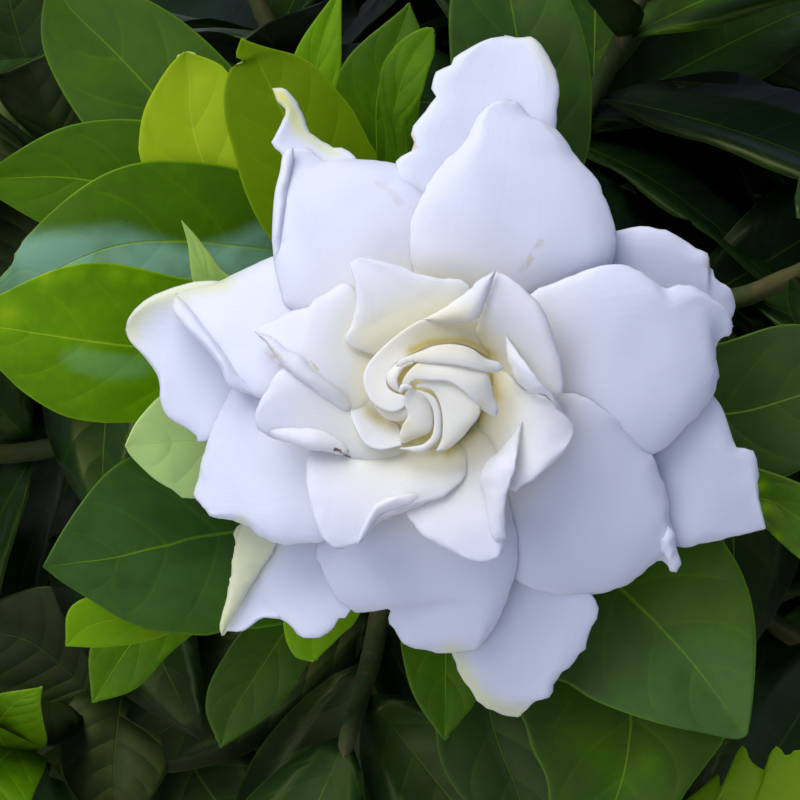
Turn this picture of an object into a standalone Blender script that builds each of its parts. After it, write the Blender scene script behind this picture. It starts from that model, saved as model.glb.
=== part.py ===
"""A potted gardenia: a leafy shrub in a clay pot, with one open double bloom and a few buds.

World units are metres, +Z up, with the origin at the centre of the pot's base.
The bloom has a frame of its own, in millimetres: x to the right and y up across its face, and
h out of its face. Outlines of petals and near leaves are given as seen from in front of the
bloom, at SIGHT_DISTANCE, and each point is moved along its line of sight to its own height h.
"""

import math
import random

import bmesh
import bpy
import numpy as np
from mathutils import Vector
from mathutils.bvhtree import BVHTree

MM = 0.001

# Pot and soil (metres)
POT_HEIGHT = 0.135
POT_BASE_RADIUS = 0.049
POT_RIM_RADIUS = 0.077
POT_BAND_HEIGHT = 0.031
POT_BAND_STEP = 0.004
POT_WALL = 0.006
POT_FLOOR = 0.009
POT_ROUNDING = 0.0018
POT_STEPS = 30
DRAIN_HOLES = 3
DRAIN_RADIUS = 0.006
DRAIN_RING = 0.026
SOIL_TOP = 0.119
SOIL_RISE = 0.004
SOIL_STEPS = 20
FIT_GAP = 0.0003

# Shrub (metres)
TRUNK_RADIUS = 0.0075
TRUNK_DEPTH = 0.030
FORK_HEIGHT = 0.154
LIMB_RADIUS = 0.0042
BRANCH_RADIUS = 0.0024
BRANCH_END = 0.008
STEM_RADIUS = 0.0016
CROWN_CENTRE = (0.0, 0.0, 0.228)
CROWN_RADII = (0.124, 0.124, 0.104)
LIMBS = 6
LIMB_REACH = 0.030
LIMB_RISE = 0.038
SHOOTS = 23
SHOOT_START = 0.42
SHOOT_END = 0.80
HIGHEST_SHOOT = 0.97
LOWEST_SHOOT = -0.34
SHOOT_SAG = Vector((0.0, 0.0, -0.003))
BLOOM_PLACE = math.radians(27.0)

# Flower buds, by the rank of the shoots that carry them (metres)
BUD_SHOOTS = (2, 9, 14)
BUD_CALYX = 0.008
BUD_LENGTH = 0.027
BUD_RADIUS = 0.0058
BUD_TWIST = math.radians(200.0)
BUD_RINGS = 6
BUD_SIDES = 10

# Leaves (millimetres)
LEAF_LENGTH = (56.0, 74.0)
LEAF_WIDTH = 0.41
LEAF_THICKNESS = 0.7
LEAF_CLEARANCE = 1.3
LEAF_FOLD = 0.22
LEAF_PAIRS = 4
FIRST_PAIR = 0.22
LAST_PAIR = 0.96
LEAF_TRIES = 6

# Bloom (millimetres)
BLOOM_REACH = 0.137
BLOOM_LEAN = math.radians(35.0)
SIGHT_DISTANCE = 580.0
SIGHT_X = -5.3
SIGHT_Y = -2.0
VIEW_HALF = 57.0
VIEW_FLOOR = -52.0
PETAL_THICKNESS = 0.62
PETAL_NETS = {"back": (6, 4), "outer": (8, 4), "middle": (7, 4), "heart": (6, 3)}
TUBE_AXIS = (-1.5, -0.5)
TUBE_RADIUS = 2.9
TUBE_FOOT = -33.0
CALYX_RADIUS = 3.6
CALYX_FOOT = -43.0
TUBE_LEVELS = (-11.0, -5.0, -1.0, 4.0, 9.5, 15.0)
TUBE_RADII = (2.9, 4.2, 7.8, 8.2, 5.6, 1.6)
TUBE_LEANS = (0.0, 0.0, 0.0, -0.8, -2.0, -2.6)

# Lobes of the bloom's calyx (metres)
LOBES = 6
LOBE_LENGTH = 0.015
LOBE_WIDTH = 0.0032
LOBE_SPREAD = math.radians(30.0)
LOBE_FOLD = 0.1
LOBE_SINK = 2.0

SEED = 11

# Petal outlines: the left and the right edge from base to tip, seen from in front, with the
# heights along the middle from base to tip. lift raises the left edge and lowers the right one,
# cup lifts both edges over the middle, and lip turns the outer margin down.
PETALS = (
    dict(name="back top", heights=(-1, 0, -3, -8), lift=1.0, cup=0.5, lip=1.2,
         left=((-2, 3), (-4.5, 20), (-5.5, 29), (-3.5, 32.5), (-1, 38), (1.5, 42.2), (5, 45.2), (9, 46.1)),
         right=((1, 3), (11, 18), (15, 32), (15.7, 38.5), (14.6, 43), (12, 45.8), (9, 46.1))),
    dict(name="back curl", heights=(-1, -2, -6, -3), lift=0.5, cup=1.5, lip=0.5,
         left=((-4, 2), (-13, 18), (-20.5, 30.5), (-21.8, 32), (-20.5, 35.5), (-22.2, 39.2)),
         right=((-2, 3), (-6, 18), (-11, 29.7), (-16, 32.5), (-19, 37.6), (-22.2, 39.2))),
    dict(name="back upper right", heights=(-1, -2, -5, -8), lift=1.0, cup=0.5, lip=1.0,
         left=((0, 3), (13, 13), (23.2, 20.4), (28, 20.9), (33, 18.6), (36, 15.2), (38.6, 12), (39, 10.5)),
         right=((2, 1), (18, 5), (30, 6.5), (37, 8), (39, 10.5))),
    dict(name="back lower right", heights=(-1, -2, -5, -9), lift=1.0, cup=0.5, lip=1.0,
         left=((2, 0), (18, 0), (31, 1), (37, -3), (39.2, -8.2), (41.8, -10), (42.2, -15), (43, -19)),
         right=((1, -3), (13, -12), (24, -18.5), (31.5, -21.4), (37.5, -20.4), (43, -19))),
    dict(name="back bottom", heights=(-1, -2, -5, -9), lift=1.0, cup=0.5, lip=1.0,
         left=((1, -3), (11, -15), (20, -28), (19.6, -34), (15.5, -38.5), (13, -42), (10.3, -43.9)),
         right=((-1, -3), (-2, -18), (-1, -30), (1.5, -35.3), (4.5, -41), (10.3, -43.9))),
    dict(name="back lower left", heights=(-1, -2, -5, -8), lift=1.0, cup=1.0, lip=0.5,
         left=((-2, -3), (-7, -15), (-12, -29.8), (-15.5, -33.3), (-20.5, -31.2), (-24.5, -31.6),
               (-28.8, -33.2)),
         right=((-4, -2), (-15, -9), (-26.4, -18.3), (-27.7, -26), (-28.8, -33.2))),
    dict(name="back left", heights=(-1, -1, -4, -7), lift=1.0, cup=1.0, lip=0.8,
         left=((-4, -2), (-18, -5), (-31, -7.3), (-36.2, -4), (-37.3, 1), (-41, 5.5), (-41.5, 7)),
         right=((-4, 1), (-16, 9), (-29, 13.7), (-35, 13), (-40.3, 10), (-41.5, 7))),
    dict(name="outer top", heights=(0, 4, 3, -1), lift=2.2, cup=-0.8, lip=1.5,
         left=((-3, 2), (-4, 12), (-4, 19), (-2.5, 25.5), (1.2, 30), (4.2, 34), (9, 37.6)),
         right=((1, 2), (11, 9), (21, 13), (23.3, 19), (21.5, 25.5), (17.5, 31), (13, 35), (9, 37.6))),
    dict(name="outer top left", heights=(0, 4, 2, -2), lift=2.2, cup=-0.8, lip=1.8,
         left=((-4, 1), (-12, 6), (-20.8, 11), (-22, 18), (-21.8, 24), (-20.9, 30), (-19.3, 31.3)),
         right=((-2, 2), (1, 12), (1, 22), (-3, 27.8), (-9, 29.7), (-15, 29.6), (-19.3, 31.3))),
    dict(name="outer left", heights=(0, 4, 2, -2), lift=2.2, cup=-0.6, lip=1.5,
         left=((-4, -2), (-14, -3), (-23.7, -1.8), (-28, 0), (-31, 5), (-35.2, 10), (-34.8, 12)),
         right=((-4, 1), (-11, 11), (-19, 17), (-26, 15.2), (-31, 13), (-34.8, 12))),
    dict(name="outer lower left", heights=(0, 4, 1, -3), lift=2.2, cup=-0.6, lip=1.5,
         left=((-2, -3), (-8, -13), (-14, -19.8), (-21, -21.1), (-26, -18.4), (-29.5, -17.6), (-32.3, -15)),
         right=((-4, -1), (-16, 1.5), (-27.2, -0.2), (-30, -5.5), (-31.7, -11), (-32.3, -15))),
    dict(name="outer bottom", heights=(0, 4, 1, -3), lift=2.2, cup=-0.8, lip=1.5,
         left=((1, -3), (8, -10), (10.3, -20), (9, -28), (5.5, -34), (0, -35.4)),
         right=((-3, -3), (-11, -12), (-16.3, -21), (-14.4, -27.4), (-10, -30.1), (-6.8, -30.2),
                (-4.5, -34.3), (0, -35.4))),
    dict(name="outer lower right", heights=(0, 4, 1, -3), lift=2.2, cup=-0.8, lip=1.5,
         left=((2, 0), (11, -0.5), (19.5, -1.8), (26.5, -7.7), (30, -15), (31.5, -21), (31.3, -24.5)),
         right=((0, -3), (4, -13), (8, -23.5), (14.5, -27.7), (21.5, -27.5), (27, -24.6), (31.3, -24.5))),
    dict(name="outer right", heights=(0, 4, 3, -1), lift=2.2, cup=-0.6, lip=1.5,
         left=((1, 2), (9, 9.5), (17, 14.4), (24, 15.9), (29.7, 12.8), (35, 12.2), (38.4, 9.4), (38.6, 8)),
         right=((2, -2), (12, -8), (24, -11), (32, -6), (36.4, -0.5), (36.5, 4.5), (38.6, 8))),
    dict(name="middle top", heights=(3, 8, 10, 9), lift=1.0, cup=1.5, lip=1.5,
         left=((-4, 2), (-9, 4), (-12.3, 6), (-11.2, 11), (-11.8, 15), (-11.3, 16.6)),
         right=((-1, 2), (3, 8), (4, 12.5), (0.7, 14), (-5, 15.6), (-11.3, 16.6))),
    dict(name="middle top left", heights=(3, 8, 9, 7), lift=1.2, cup=-0.5, lip=2.0,
         left=((-4, -2), (-11.7, -3.5), (-16.5, -0.7), (-21, 3), (-24.5, 7)),
         right=((-3, 2), (-8, 9), (-12.2, 13.3), (-17.5, 10.3), (-24.5, 7))),
    dict(name="middle lower left", heights=(3, 7, 8, 6), lift=1.2, cup=-0.5, lip=2.0,
         left=((-2, -3), (-4, -10), (-10, -10.3), (-17, -8.4), (-22.5, -6.9), (-24, -5.9)),
         right=((-4, -1), (-13, 2), (-21.4, 1.7), (-24.4, -4.5), (-24, -5.9))),
    dict(name="middle bottom", heights=(3, 7, 8, 5), lift=1.2, cup=0.5, lip=1.5,
         left=((0, -3), (4, -9), (2, -13.5), (-4.5, -16.5), (-9, -19.5), (-13, -21.6)),
         right=((-4, -2), (-12, -6), (-17.6, -10), (-17, -17), (-13, -21.6))),
    dict(name="middle lower right", heights=(3, 8, 9, 5), lift=1.8, cup=0.5, lip=1.5,
         left=((2, -2), (10.9, -4.8), (10, -10.5), (8.6, -16), (8.4, -21.5), (5.5, -23.5)),
         right=((-2, -3), (-5.5, -10), (-4.5, -16.7), (-1, -20.8), (5.5, -23.5))),
    dict(name="middle right", heights=(3, 8, 10, 8), lift=2.0, cup=0.5, lip=1.8,
         left=((1, 1), (6, 4.5), (8.8, 6.8), (12, 2), (16, -3), (17.8, -5.5)),
         right=((1, -2), (6, -9), (9.3, -13.9), (14.2, -11), (17.8, -5.5))),
    dict(name="middle top right", heights=(3, 9, 10, 9), lift=1.8, cup=0.5, lip=1.5,
         left=((0, 2), (2.5, 8.5), (4, 12.3), (7.4, 15)),
         right=((2, 0), (9, -1.5), (15.3, -1.7), (16.1, 2.5), (13.5, 10), (7.4, 15))),
    dict(name="heart wrap", heights=(10, 10, 10, 10), lift=1.5, cup=0.0, lip=0.4,
         left=((6.5, 8.5), (3, 8.3), (-2.5, 8.7), (-8.3, 4.6), (-10.1, 0.5), (-6.5, -3.4)),
         right=((6, 3), (3, 3.5), (-2.5, 3.5), (-5.5, 1.5), (-5.5, -1), (-6.5, -3.4))),
    dict(name="heart lower left", heights=(9, 9, 9, 9), lift=-1.5, cup=0.0, lip=0.4,
         left=((-8, -1), (-7, -3.5), (-4.5, -5), (-1, -5), (1, -6.5)),
         right=((-10, -1), (-11.4, -5), (-8.7, -8.4), (-4, -8.5), (1, -6.5))),
    dict(name="heart blade one", heights=(13, 14.5, 15, 14), lift=-1.0, cup=0.6, lip=0.3,
         left=((-5.7, 2), (-4, 3.8), (1, 5.4), (6, 3.6), (8.4, 2.2)),
         right=((-4, 0), (0, 2.8), (4, 2.2), (8.4, 2.2))),
    dict(name="heart blade two", heights=(14, 15.5, 15.5, 13.5), lift=-1.0, cup=0.6, lip=0.3,
         left=((-5, 0.8), (-2.3, 3.2), (4, 3), (6.8, 0.5), (7.4, -4.3)),
         right=((-4.4, -0.5), (0.8, 0.5), (4.3, -2), (7.4, -4.3))),
    dict(name="heart blade three", heights=(14, 15.5, 15, 12.5), lift=-1.0, cup=0.6, lip=0.3,
         left=((-4, 0), (0, 1), (4.6, -1.6), (5, -4.3), (2.5, -7.3), (-0.6, -8.7)),
         right=((-3.5, -1), (-0.5, -2), (0, -5), (-0.6, -8.7))),
    dict(name="heart blade four", heights=(14, 15, 14, 11), lift=-1.0, cup=0.6, lip=0.3,
         left=((-3.5, -0.5), (0.4, -2), (0.4, -5), (-1.5, -7.4), (-3.5, -8.3)),
         right=((-4.5, -1), (-3.6, -3), (-4.5, -6), (-3.5, -8.3))),
)

# Near leaves of the flowering shoot, outlined as the petals are. fold sinks the midrib.
NEAR_LEAVES = (
    dict(name="left bright", heights=(-43, -30, -20, -17), fold=1.5,
         left=((-2, -1), (-20, -4.5), (-38, -5), (-50, -4), (-60, 2.5), (-67, 9.5)),
         right=((-2, 1), (-15, 10), (-30, 14), (-45, 16.2), (-57, 13), (-67, 9.5))),
    dict(name="upper left broad", heights=(-47, -38, -31, -33), fold=2.0,
         left=((-3, 0), (-25, 8), (-42, 8), (-58, 6), (-66, 10)),
         right=((-1, 2), (-12, 24), (-30, 29.4), (-45, 27.5), (-57, 17), (-66, 10))),
    dict(name="top left", heights=(-43, -32, -23, -17), fold=1.5,
         left=((-3, 1), (-20, 14), (-27, 28), (-28.7, 38), (-26.8, 43), (-26.3, 45.7)),
         right=((-1, 1), (-7, 16), (-9, 31), (-13.5, 38.7), (-18.5, 43.4), (-26.3, 45.7))),
    dict(name="top yellow", heights=(-49, -42, -36, -33), fold=1.5,
         left=((-3, 0), (-25, 12), (-38, 24), (-39.7, 33), (-37, 40.3), (-33.5, 44)),
         right=((-1, 1), (-14, 16), (-24, 30), (-27, 40.5), (-33.5, 44))),
    dict(name="top narrow", heights=(-47, -36, -27, -22), fold=1.5,
         left=((-2, 1), (-8, 16), (-8, 30), (-7.9, 41), (-4.5, 46), (-0.8, 47)),
         right=((0, 1), (1, 16), (-1, 30), (-1, 43), (-0.8, 47))),
    dict(name="top dark", heights=(-43, -33, -26, -28), fold=1.5,
         left=((-2, 1), (1, 20), (1.5, 38), (1.5, 52), (7, 66)),
         right=((0, 1), (14, 18), (20, 32), (19.5, 46), (7, 66))),
    dict(name="left pale", heights=(-43, -28, -19, -15), fold=1.0,
         left=((-3, -3), (-18, -14), (-32, -15.5), (-38, -12.3), (-41.6, -8)),
         right=((-4, -1), (-18, -2), (-33, 0), (-39, -3.5), (-41.6, -8))),
    dict(name="left dark", heights=(-48, -37, -28, -23), fold=1.5,
         left=((-2, -3), (-14, -28), (-28, -33), (-40, -32), (-48, -27.5), (-52.5, -24)),
         right=((-3, -1), (-20, -5), (-36, -7), (-46, -13.5), (-52.5, -24))),
    dict(name="left small", heights=(-40, -26, -15, -12), fold=0.8,
         left=((-3, 0), (-16, 5), (-28, 10), (-33, 16), (-34.2, 21.8)),
         right=((-2, 1), (-10, 9), (-22, 14), (-30, 17.5), (-34.2, 21.8))),
    dict(name="lower left bright", heights=(-53, -43, -36, -33), fold=1.0,
         left=((-2, -2), (-20, -26), (-36, -34), (-49.5, -34.5)),
         right=((-3, -1), (-22, -18), (-40, -26), (-49.5, -34.5))),
    dict(name="bottom small", heights=(-43, -32, -26, -24), fold=0.8,
         left=((-1, -3), (-6, -18), (-11, -30), (-16.5, -36.4)),
         right=((-3, -2), (-14, -16), (-20, -30), (-16.5, -36.4))),
    dict(name="bottom narrow", heights=(-47, -37, -30, -27), fold=1.0,
         left=((0, -3), (7, -18), (7, -32), (4, -43), (0.5, -47)),
         right=((-2, -3), (-7, -18), (-6, -32), (-3, -42), (0.5, -47))),
    dict(name="lower right dark", heights=(-43, -28, -20, -17), fold=1.2,
         left=((0, -1), (18, -4), (34, -15), (41, -28), (41.6, -40), (40.5, -46.3)),
         right=((-1, -3), (1, -20), (11, -37), (24, -43.3), (35, -46.2), (40.5, -46.3))),
    dict(name="lower right broad", heights=(-48, -37, -29, -26), fold=1.2,
         left=((0, -2), (22, -14), (38, -30), (39, -45), (31, -58), (20, -66)),
         right=((-2, -3), (-1, -22), (6, -38), (12, -50), (20, -66))),
)

# Farther leaves of the same shoot, which show past the near ones.
FAR_LEAVES = (
    dict(name="top left far", heights=(-60, -55, -51, -50), fold=1.5,
         left=((-3, -4), (-24, 12), (-42, 28), (-52, 43), (-52, 54)),
         right=((-2, -3), (-10, 18), (-24, 38), (-37, 50), (-52, 54))),
    dict(name="left olive far", heights=(-62, -56, -51, -48), fold=1.5,
         left=((-4, -4), (-24, 6), (-42, 16), (-54, 22), (-62, 27)),
         right=((-3, -3), (-16, 20), (-32, 33), (-48, 34.5), (-62, 27))),
    dict(name="top olive", heights=(-55, -48, -43, -41), fold=1.0,
         left=((-3, -2), (-12, 18), (-18.5, 34), (-19.5, 43), (-13, 53)),
         right=((-2, -1), (-7, 20), (-12.5, 36), (-13, 45), (-13, 53))),
    dict(name="top middle", heights=(-51, -44, -38, -35), fold=1.0,
         left=((-2, -1), (-9, 16), (-13.5, 32), (-13, 42), (-4, 50.5)),
         right=((-1, 0), (-4, 18), (-3, 34), (-2, 44), (-4, 50.5))),
    dict(name="right dark", heights=(-52, -44, -38, -36), fold=1.5,
         left=((0, -2), (18, 6), (34, 5), (48, 8), (64, 1)),
         right=((1, -4), (16, -9), (32, -12), (46, -12), (64, 1))),
    dict(name="right bright", heights=(-46, -35, -26, -22), fold=1.0,
         left=((1, -1), (20, -3), (36, -5), (46, -8), (58, -15)),
         right=((2, -3), (18, -13), (34, -18), (46, -23), (58, -15))),
    dict(name="bottom glossy", heights=(-57, -50, -45, -43), fold=1.2,
         left=((0, -5), (8, -24), (13, -40), (17, -52), (12, -63)),
         right=((-1, -6), (-3, -24), (-1, -40), (1, -52), (12, -63))),
    dict(name="lower left far", heights=(-60, -54, -50, -48), fold=1.0,
         left=((-1, -6), (-9, -22), (-17, -36), (-22, -43), (-29, -48)),
         right=((-3, -6), (-18, -22), (-28, -35), (-31, -42), (-29, -48))),
    dict(name="lower left low", heights=(-66, -60, -55, -53), fold=1.0,
         left=((-2, -7), (-20, -24), (-34, -34), (-40, -40), (-46, -42)),
         right=((-4, -6), (-26, -18), (-40, -27), (-46, -34), (-46, -42))),
)


# Frames and curves

LEAN_Y = Vector((0.0, math.sin(BLOOM_LEAN), math.cos(BLOOM_LEAN)))
LEAN_H = Vector((0.0, -math.cos(BLOOM_LEAN), math.sin(BLOOM_LEAN)))
BLOOM_CENTRE = Vector(CROWN_CENTRE) + LEAN_H * BLOOM_REACH


def from_bloom(x, y, h):
    """World place in metres of a point of the bloom's frame in millimetres."""
    return BLOOM_CENTRE + (Vector((1.0, 0.0, 0.0)) * x + LEAN_Y * y + LEAN_H * h) * MM


def to_bloom(point):
    """Place in the bloom's frame, in millimetres, of a world point in metres."""
    offset = (Vector(point) - BLOOM_CENTRE) / MM
    return offset.x, offset.dot(LEAN_Y), offset.dot(LEAN_H)


def along_sight(x, y, h):
    """Moves a point of the outline along its line of sight to height h."""
    share = 1.0 - h / SIGHT_DISTANCE
    return SIGHT_X + (x - SIGHT_X) * share, SIGHT_Y + (y - SIGHT_Y) * share, h


def smooth_curve(points, per_span=8):
    """Points on a smooth curve through the given ones, per_span to each stretch."""
    rows = np.array(points, dtype=float)
    if rows.ndim == 1:
        rows = rows[:, None]
    ends = np.vstack((2 * rows[0] - rows[1], rows, 2 * rows[-1] - rows[-2]))
    curve = []
    for i in range(1, len(ends) - 2):
        before, start, end, after = ends[i - 1:i + 3]
        for step in range(per_span):
            t = step / per_span
            curve.append(0.5 * (2 * start + (end - before) * t
                                + (2 * before - 5 * start + 4 * end - after) * t * t
                                + (3 * start - before - 3 * end + after) * t ** 3))
    curve.append(rows[-1])
    return np.array(curve)


def shares_of(curve, shares):
    """Points at the given shares of a curve's length."""
    steps = np.linalg.norm(np.diff(curve, axis=0), axis=1)
    lengths = np.concatenate(([0.0], np.cumsum(steps)))
    wanted = np.array(shares) * lengths[-1]
    return np.column_stack([np.interp(wanted, lengths, curve[:, k]) for k in range(curve.shape[1])])


def heights_at(heights, shares):
    """Heights at the given shares of the way, on a smooth curve through the given ones."""
    curve = smooth_curve(heights)[:, 0]
    return np.interp(shares, np.linspace(0.0, 1.0, len(curve)), curve)


# Meshes

def grid_faces(rows, columns):
    """Triangles of a net of rows and columns whose first and last row are one point each."""
    faces = [(0, j + 2, j + 1) for j in range(columns - 1)]
    for i in range(rows - 3):
        for j in range(columns - 1):
            a = 1 + i * columns + j
            b = a + columns
            if (i + j) % 2:
                faces += [(a, a + 1, b), (a + 1, b + 1, b)]
            else:
                faces += [(a, a + 1, b + 1), (a, b + 1, b)]
    tip = 1 + (rows - 2) * columns
    for j in range(columns - 1):
        a = 1 + (rows - 3) * columns + j
        faces.append((a, a + 1, tip))
    return faces


def net_points(net):
    """The points of a net in one list, with its first and last row as one point each."""
    rows = net.shape[0]
    inner = [Vector(p) for p in net[1:rows - 1].reshape(-1, 3)]
    return [Vector(net[0].mean(axis=0))] + inner + [Vector(net[rows - 1, 0])]


def outlined_net(piece, rows, columns):
    """The net of a petal or near leaf, in the bloom's frame."""
    shares = np.linspace(0.0, 1.0, rows)
    left = shares_of(smooth_curve(piece["left"]), shares)
    right = shares_of(smooth_curve(piece["right"]), shares)
    middle = heights_at(piece["heights"], shares)
    net = np.zeros((rows, columns, 3))
    for i, share in enumerate(shares):
        grown = min(1.0, 2.5 * share)
        narrowing = math.sqrt(max(0.0, 1.0 - share ** 4))
        for j, across in enumerate(np.linspace(-1.0, 1.0, columns)):
            x, y = left[i] * (1 - across) / 2 + right[i] * (1 + across) / 2
            h = middle[i] - piece.get("lift", 0.0) * across * grown * narrowing
            h += piece.get("cup", 0.0) * across * across * grown * narrowing
            edge = max(across ** 6, share ** 9)
            h -= piece.get("lip", 0.0) * edge * grown
            h -= piece.get("fold", 0.0) * (1.0 - abs(across)) * grown * narrowing
            net[i, j] = along_sight(x, y, h)
    return net


def outlined_world(piece, rows, columns):
    """The same net in the world, in metres."""
    net = outlined_net(piece, rows, columns)
    for i in range(rows):
        for j in range(columns):
            net[i, j] = from_bloom(*net[i, j])
    return net


def add_blade(name, net, thickness, group):
    """A thin closed blade: an open net of triangles with a thickness on both sides."""
    rows, columns = net.shape[:2]
    mesh = bpy.data.meshes.new(name)
    mesh.from_pydata([p[:] for p in net_points(net)], [], grid_faces(rows, columns))
    mesh.update()
    blade = bpy.data.objects.new(name, mesh)
    group.objects.link(blade)
    wall = blade.modifiers.new("thickness", "SOLIDIFY")
    wall.thickness = thickness * MM
    wall.offset = 0.0
    return blade


def add_tube(name, points, radii, group, resolution=1):
    """A closed round tube through points, with a radius at each, as a mesh object."""
    curve = bpy.data.curves.new(name, "CURVE")
    curve.dimensions = "3D"
    curve.bevel_depth = 1.0
    curve.bevel_resolution = resolution
    curve.use_fill_caps = True
    curve.resolution_u = 1
    spline = curve.splines.new("POLY")
    spline.points.add(len(points) - 1)
    for place, point, radius in zip(spline.points, points, radii):
        place.co = (*point, 1.0)
        place.radius = radius
    guide = bpy.data.objects.new(name + " guide", curve)
    bpy.context.scene.collection.objects.link(guide)
    graph = bpy.context.evaluated_depsgraph_get()
    mesh = bpy.data.meshes.new_from_object(guide.evaluated_get(graph))
    net = bmesh.new()
    net.from_mesh(mesh)
    bmesh.ops.remove_doubles(net, verts=net.verts, dist=1e-6)
    bmesh.ops.recalc_face_normals(net, faces=net.faces)
    net.to_mesh(mesh)
    net.free()
    bpy.data.objects.remove(guide)
    bpy.data.curves.remove(curve)
    tube = bpy.data.objects.new(name, mesh)
    group.objects.link(tube)
    return tube


def keep_main_body(mesh):
    """Keeps the largest body of a mesh: small sealed hollows are filled and loose scraps dropped."""
    net = bmesh.new()
    net.from_mesh(mesh)
    unseen = set(net.verts)
    bodies = []
    while unseen:
        front = [unseen.pop()]
        body = set(front)
        while front:
            vert = front.pop()
            for edge in vert.link_edges:
                near = edge.other_vert(vert)
                if near in unseen:
                    unseen.discard(near)
                    body.add(near)
                    front.append(near)
        bodies.append(body)
    bodies.sort(key=len, reverse=True)
    for body in bodies[1:]:
        bmesh.ops.delete(net, geom=list(body), context="VERTS")
    net.to_mesh(mesh)
    net.free()


def fuse(name, body, pieces, material):
    """Joins a collection's closed pieces to a body as one mesh, and removes them."""
    union = body.modifiers.new("join", "BOOLEAN")
    union.operation = "UNION"
    union.operand_type = "COLLECTION"
    union.collection = pieces
    union.solver = "EXACT"
    graph = bpy.context.evaluated_depsgraph_get()
    mesh = bpy.data.meshes.new_from_object(body.evaluated_get(graph))
    keep_main_body(mesh)
    body.modifiers.clear()
    body.data = mesh
    body.name = name
    for piece in list(pieces.objects):
        bpy.data.objects.remove(piece)
    bpy.data.collections.remove(pieces)
    mesh.materials.clear()
    mesh.materials.append(material)
    mesh.shade_smooth()
    return body


def new_group(name):
    """A new collection in the scene."""
    group = bpy.data.collections.new(name)
    bpy.context.scene.collection.children.link(group)
    return group


def make_material(name, colour, roughness):
    """A plain finish."""
    material = bpy.data.materials.new(name)
    material.use_nodes = True
    shader = material.node_tree.nodes["Principled BSDF"]
    shader.inputs["Base Color"].default_value = (*colour, 1.0)
    shader.inputs["Roughness"].default_value = roughness
    shader.inputs["Metallic"].default_value = 0.0
    return material


def turned(name, profile, steps, group, material):
    """A solid turned about the Z axis from a profile of (radius, height)."""
    mesh = bpy.data.meshes.new(name)
    mesh.from_pydata([(r, 0.0, z) for r, z in profile], [(i, i + 1) for i in range(len(profile) - 1)], [])
    solid = bpy.data.objects.new(name, mesh)
    group.objects.link(solid)
    screw = solid.modifiers.new("turn", "SCREW")
    screw.steps = steps
    screw.render_steps = steps
    screw.use_merge_vertices = True
    screw.merge_threshold = 1e-5
    screw.use_normal_calculate = True
    mesh.materials.append(material)
    return solid


# Pot and soil

def pot_radius(height):
    """Outer radius of the pot's tapered wall, without the rim band."""
    share = height / POT_HEIGHT
    return POT_BASE_RADIUS + (POT_RIM_RADIUS - POT_BAND_STEP - POT_BASE_RADIUS) * share


def make_pot(group, material):
    """The clay pot with its rim band and drain holes."""
    band_foot = POT_HEIGHT - POT_BAND_HEIGHT
    inner_rim = pot_radius(POT_HEIGHT) - POT_WALL
    inner_foot = pot_radius(POT_FLOOR) - POT_WALL
    profile = (
        (0.0, POT_FLOOR), (inner_foot, POT_FLOOR), (inner_rim, POT_HEIGHT - POT_ROUNDING),
        (inner_rim + POT_ROUNDING, POT_HEIGHT), (POT_RIM_RADIUS - POT_ROUNDING, POT_HEIGHT),
        (POT_RIM_RADIUS, POT_HEIGHT - POT_ROUNDING),
        (pot_radius(band_foot) + POT_BAND_STEP, band_foot + POT_ROUNDING),
        (pot_radius(band_foot) + POT_BAND_STEP - POT_ROUNDING, band_foot),
        (pot_radius(band_foot), band_foot), (pot_radius(POT_ROUNDING), POT_ROUNDING),
        (POT_BASE_RADIUS - POT_ROUNDING, 0.0), (0.0, 0.0))
    pot = turned("pot", profile, POT_STEPS, group, material)
    cutters = new_group("cutters")
    for k in range(DRAIN_HOLES):
        angle = math.tau * (k + 0.5) / DRAIN_HOLES
        bpy.ops.mesh.primitive_cylinder_add(
            vertices=16, radius=DRAIN_RADIUS, depth=3 * POT_FLOOR,
            location=(DRAIN_RING * math.cos(angle), DRAIN_RING * math.sin(angle), POT_FLOOR / 2))
        cutter = bpy.context.object
        cutter.name = f"drain cutter {k + 1}"
        for owner in list(cutter.users_collection):
            owner.objects.unlink(cutter)
        cutters.objects.link(cutter)
        cutter.hide_render = True
        cutter.display_type = "WIRE"
        cut = pot.modifiers.new(f"drain {k + 1}", "BOOLEAN")
        cut.operation = "DIFFERENCE"
        cut.object = cutter
        cut.solver = "EXACT"
    return pot


def make_soil(group, material):
    """The potting soil, a little lower than the rim, with a plain hole for the trunk."""
    def wall(height):
        return pot_radius(height) - POT_WALL - 2 * FIT_GAP

    foot = POT_FLOOR + FIT_GAP
    hole = TRUNK_RADIUS + FIT_GAP
    hole_foot = SOIL_TOP - TRUNK_DEPTH
    edge = wall(SOIL_TOP)
    profile = (
        (0.0, hole_foot), (hole, hole_foot), (hole, SOIL_TOP + 0.7 * SOIL_RISE),
        (0.3 * edge, SOIL_TOP + SOIL_RISE), (0.5 * edge, SOIL_TOP + 0.3 * SOIL_RISE),
        (0.75 * edge, SOIL_TOP + 0.5 * SOIL_RISE), (0.92 * edge, SOIL_TOP - 0.3 * SOIL_RISE),
        (wall(SOIL_TOP - SOIL_RISE), SOIL_TOP - SOIL_RISE), (wall(foot), foot), (0.0, foot))
    return turned("soil", profile, SOIL_STEPS, group, material)


# Wood

def crown_directions():
    """Even directions over the crown, without the place of the bloom, each with its rank."""
    golden = math.pi * (3.0 - math.sqrt(5.0))
    found = []
    for k in range(SHOOTS):
        z = HIGHEST_SHOOT - (k + 0.5) * (HIGHEST_SHOOT - LOWEST_SHOOT) / SHOOTS
        ring = math.sqrt(max(0.0, 1.0 - z * z))
        way = Vector((ring * math.cos(k * golden), ring * math.sin(k * golden), z))
        if way.angle(LEAN_H) > BLOOM_PLACE:
            found.append(way)
    return found


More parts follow.
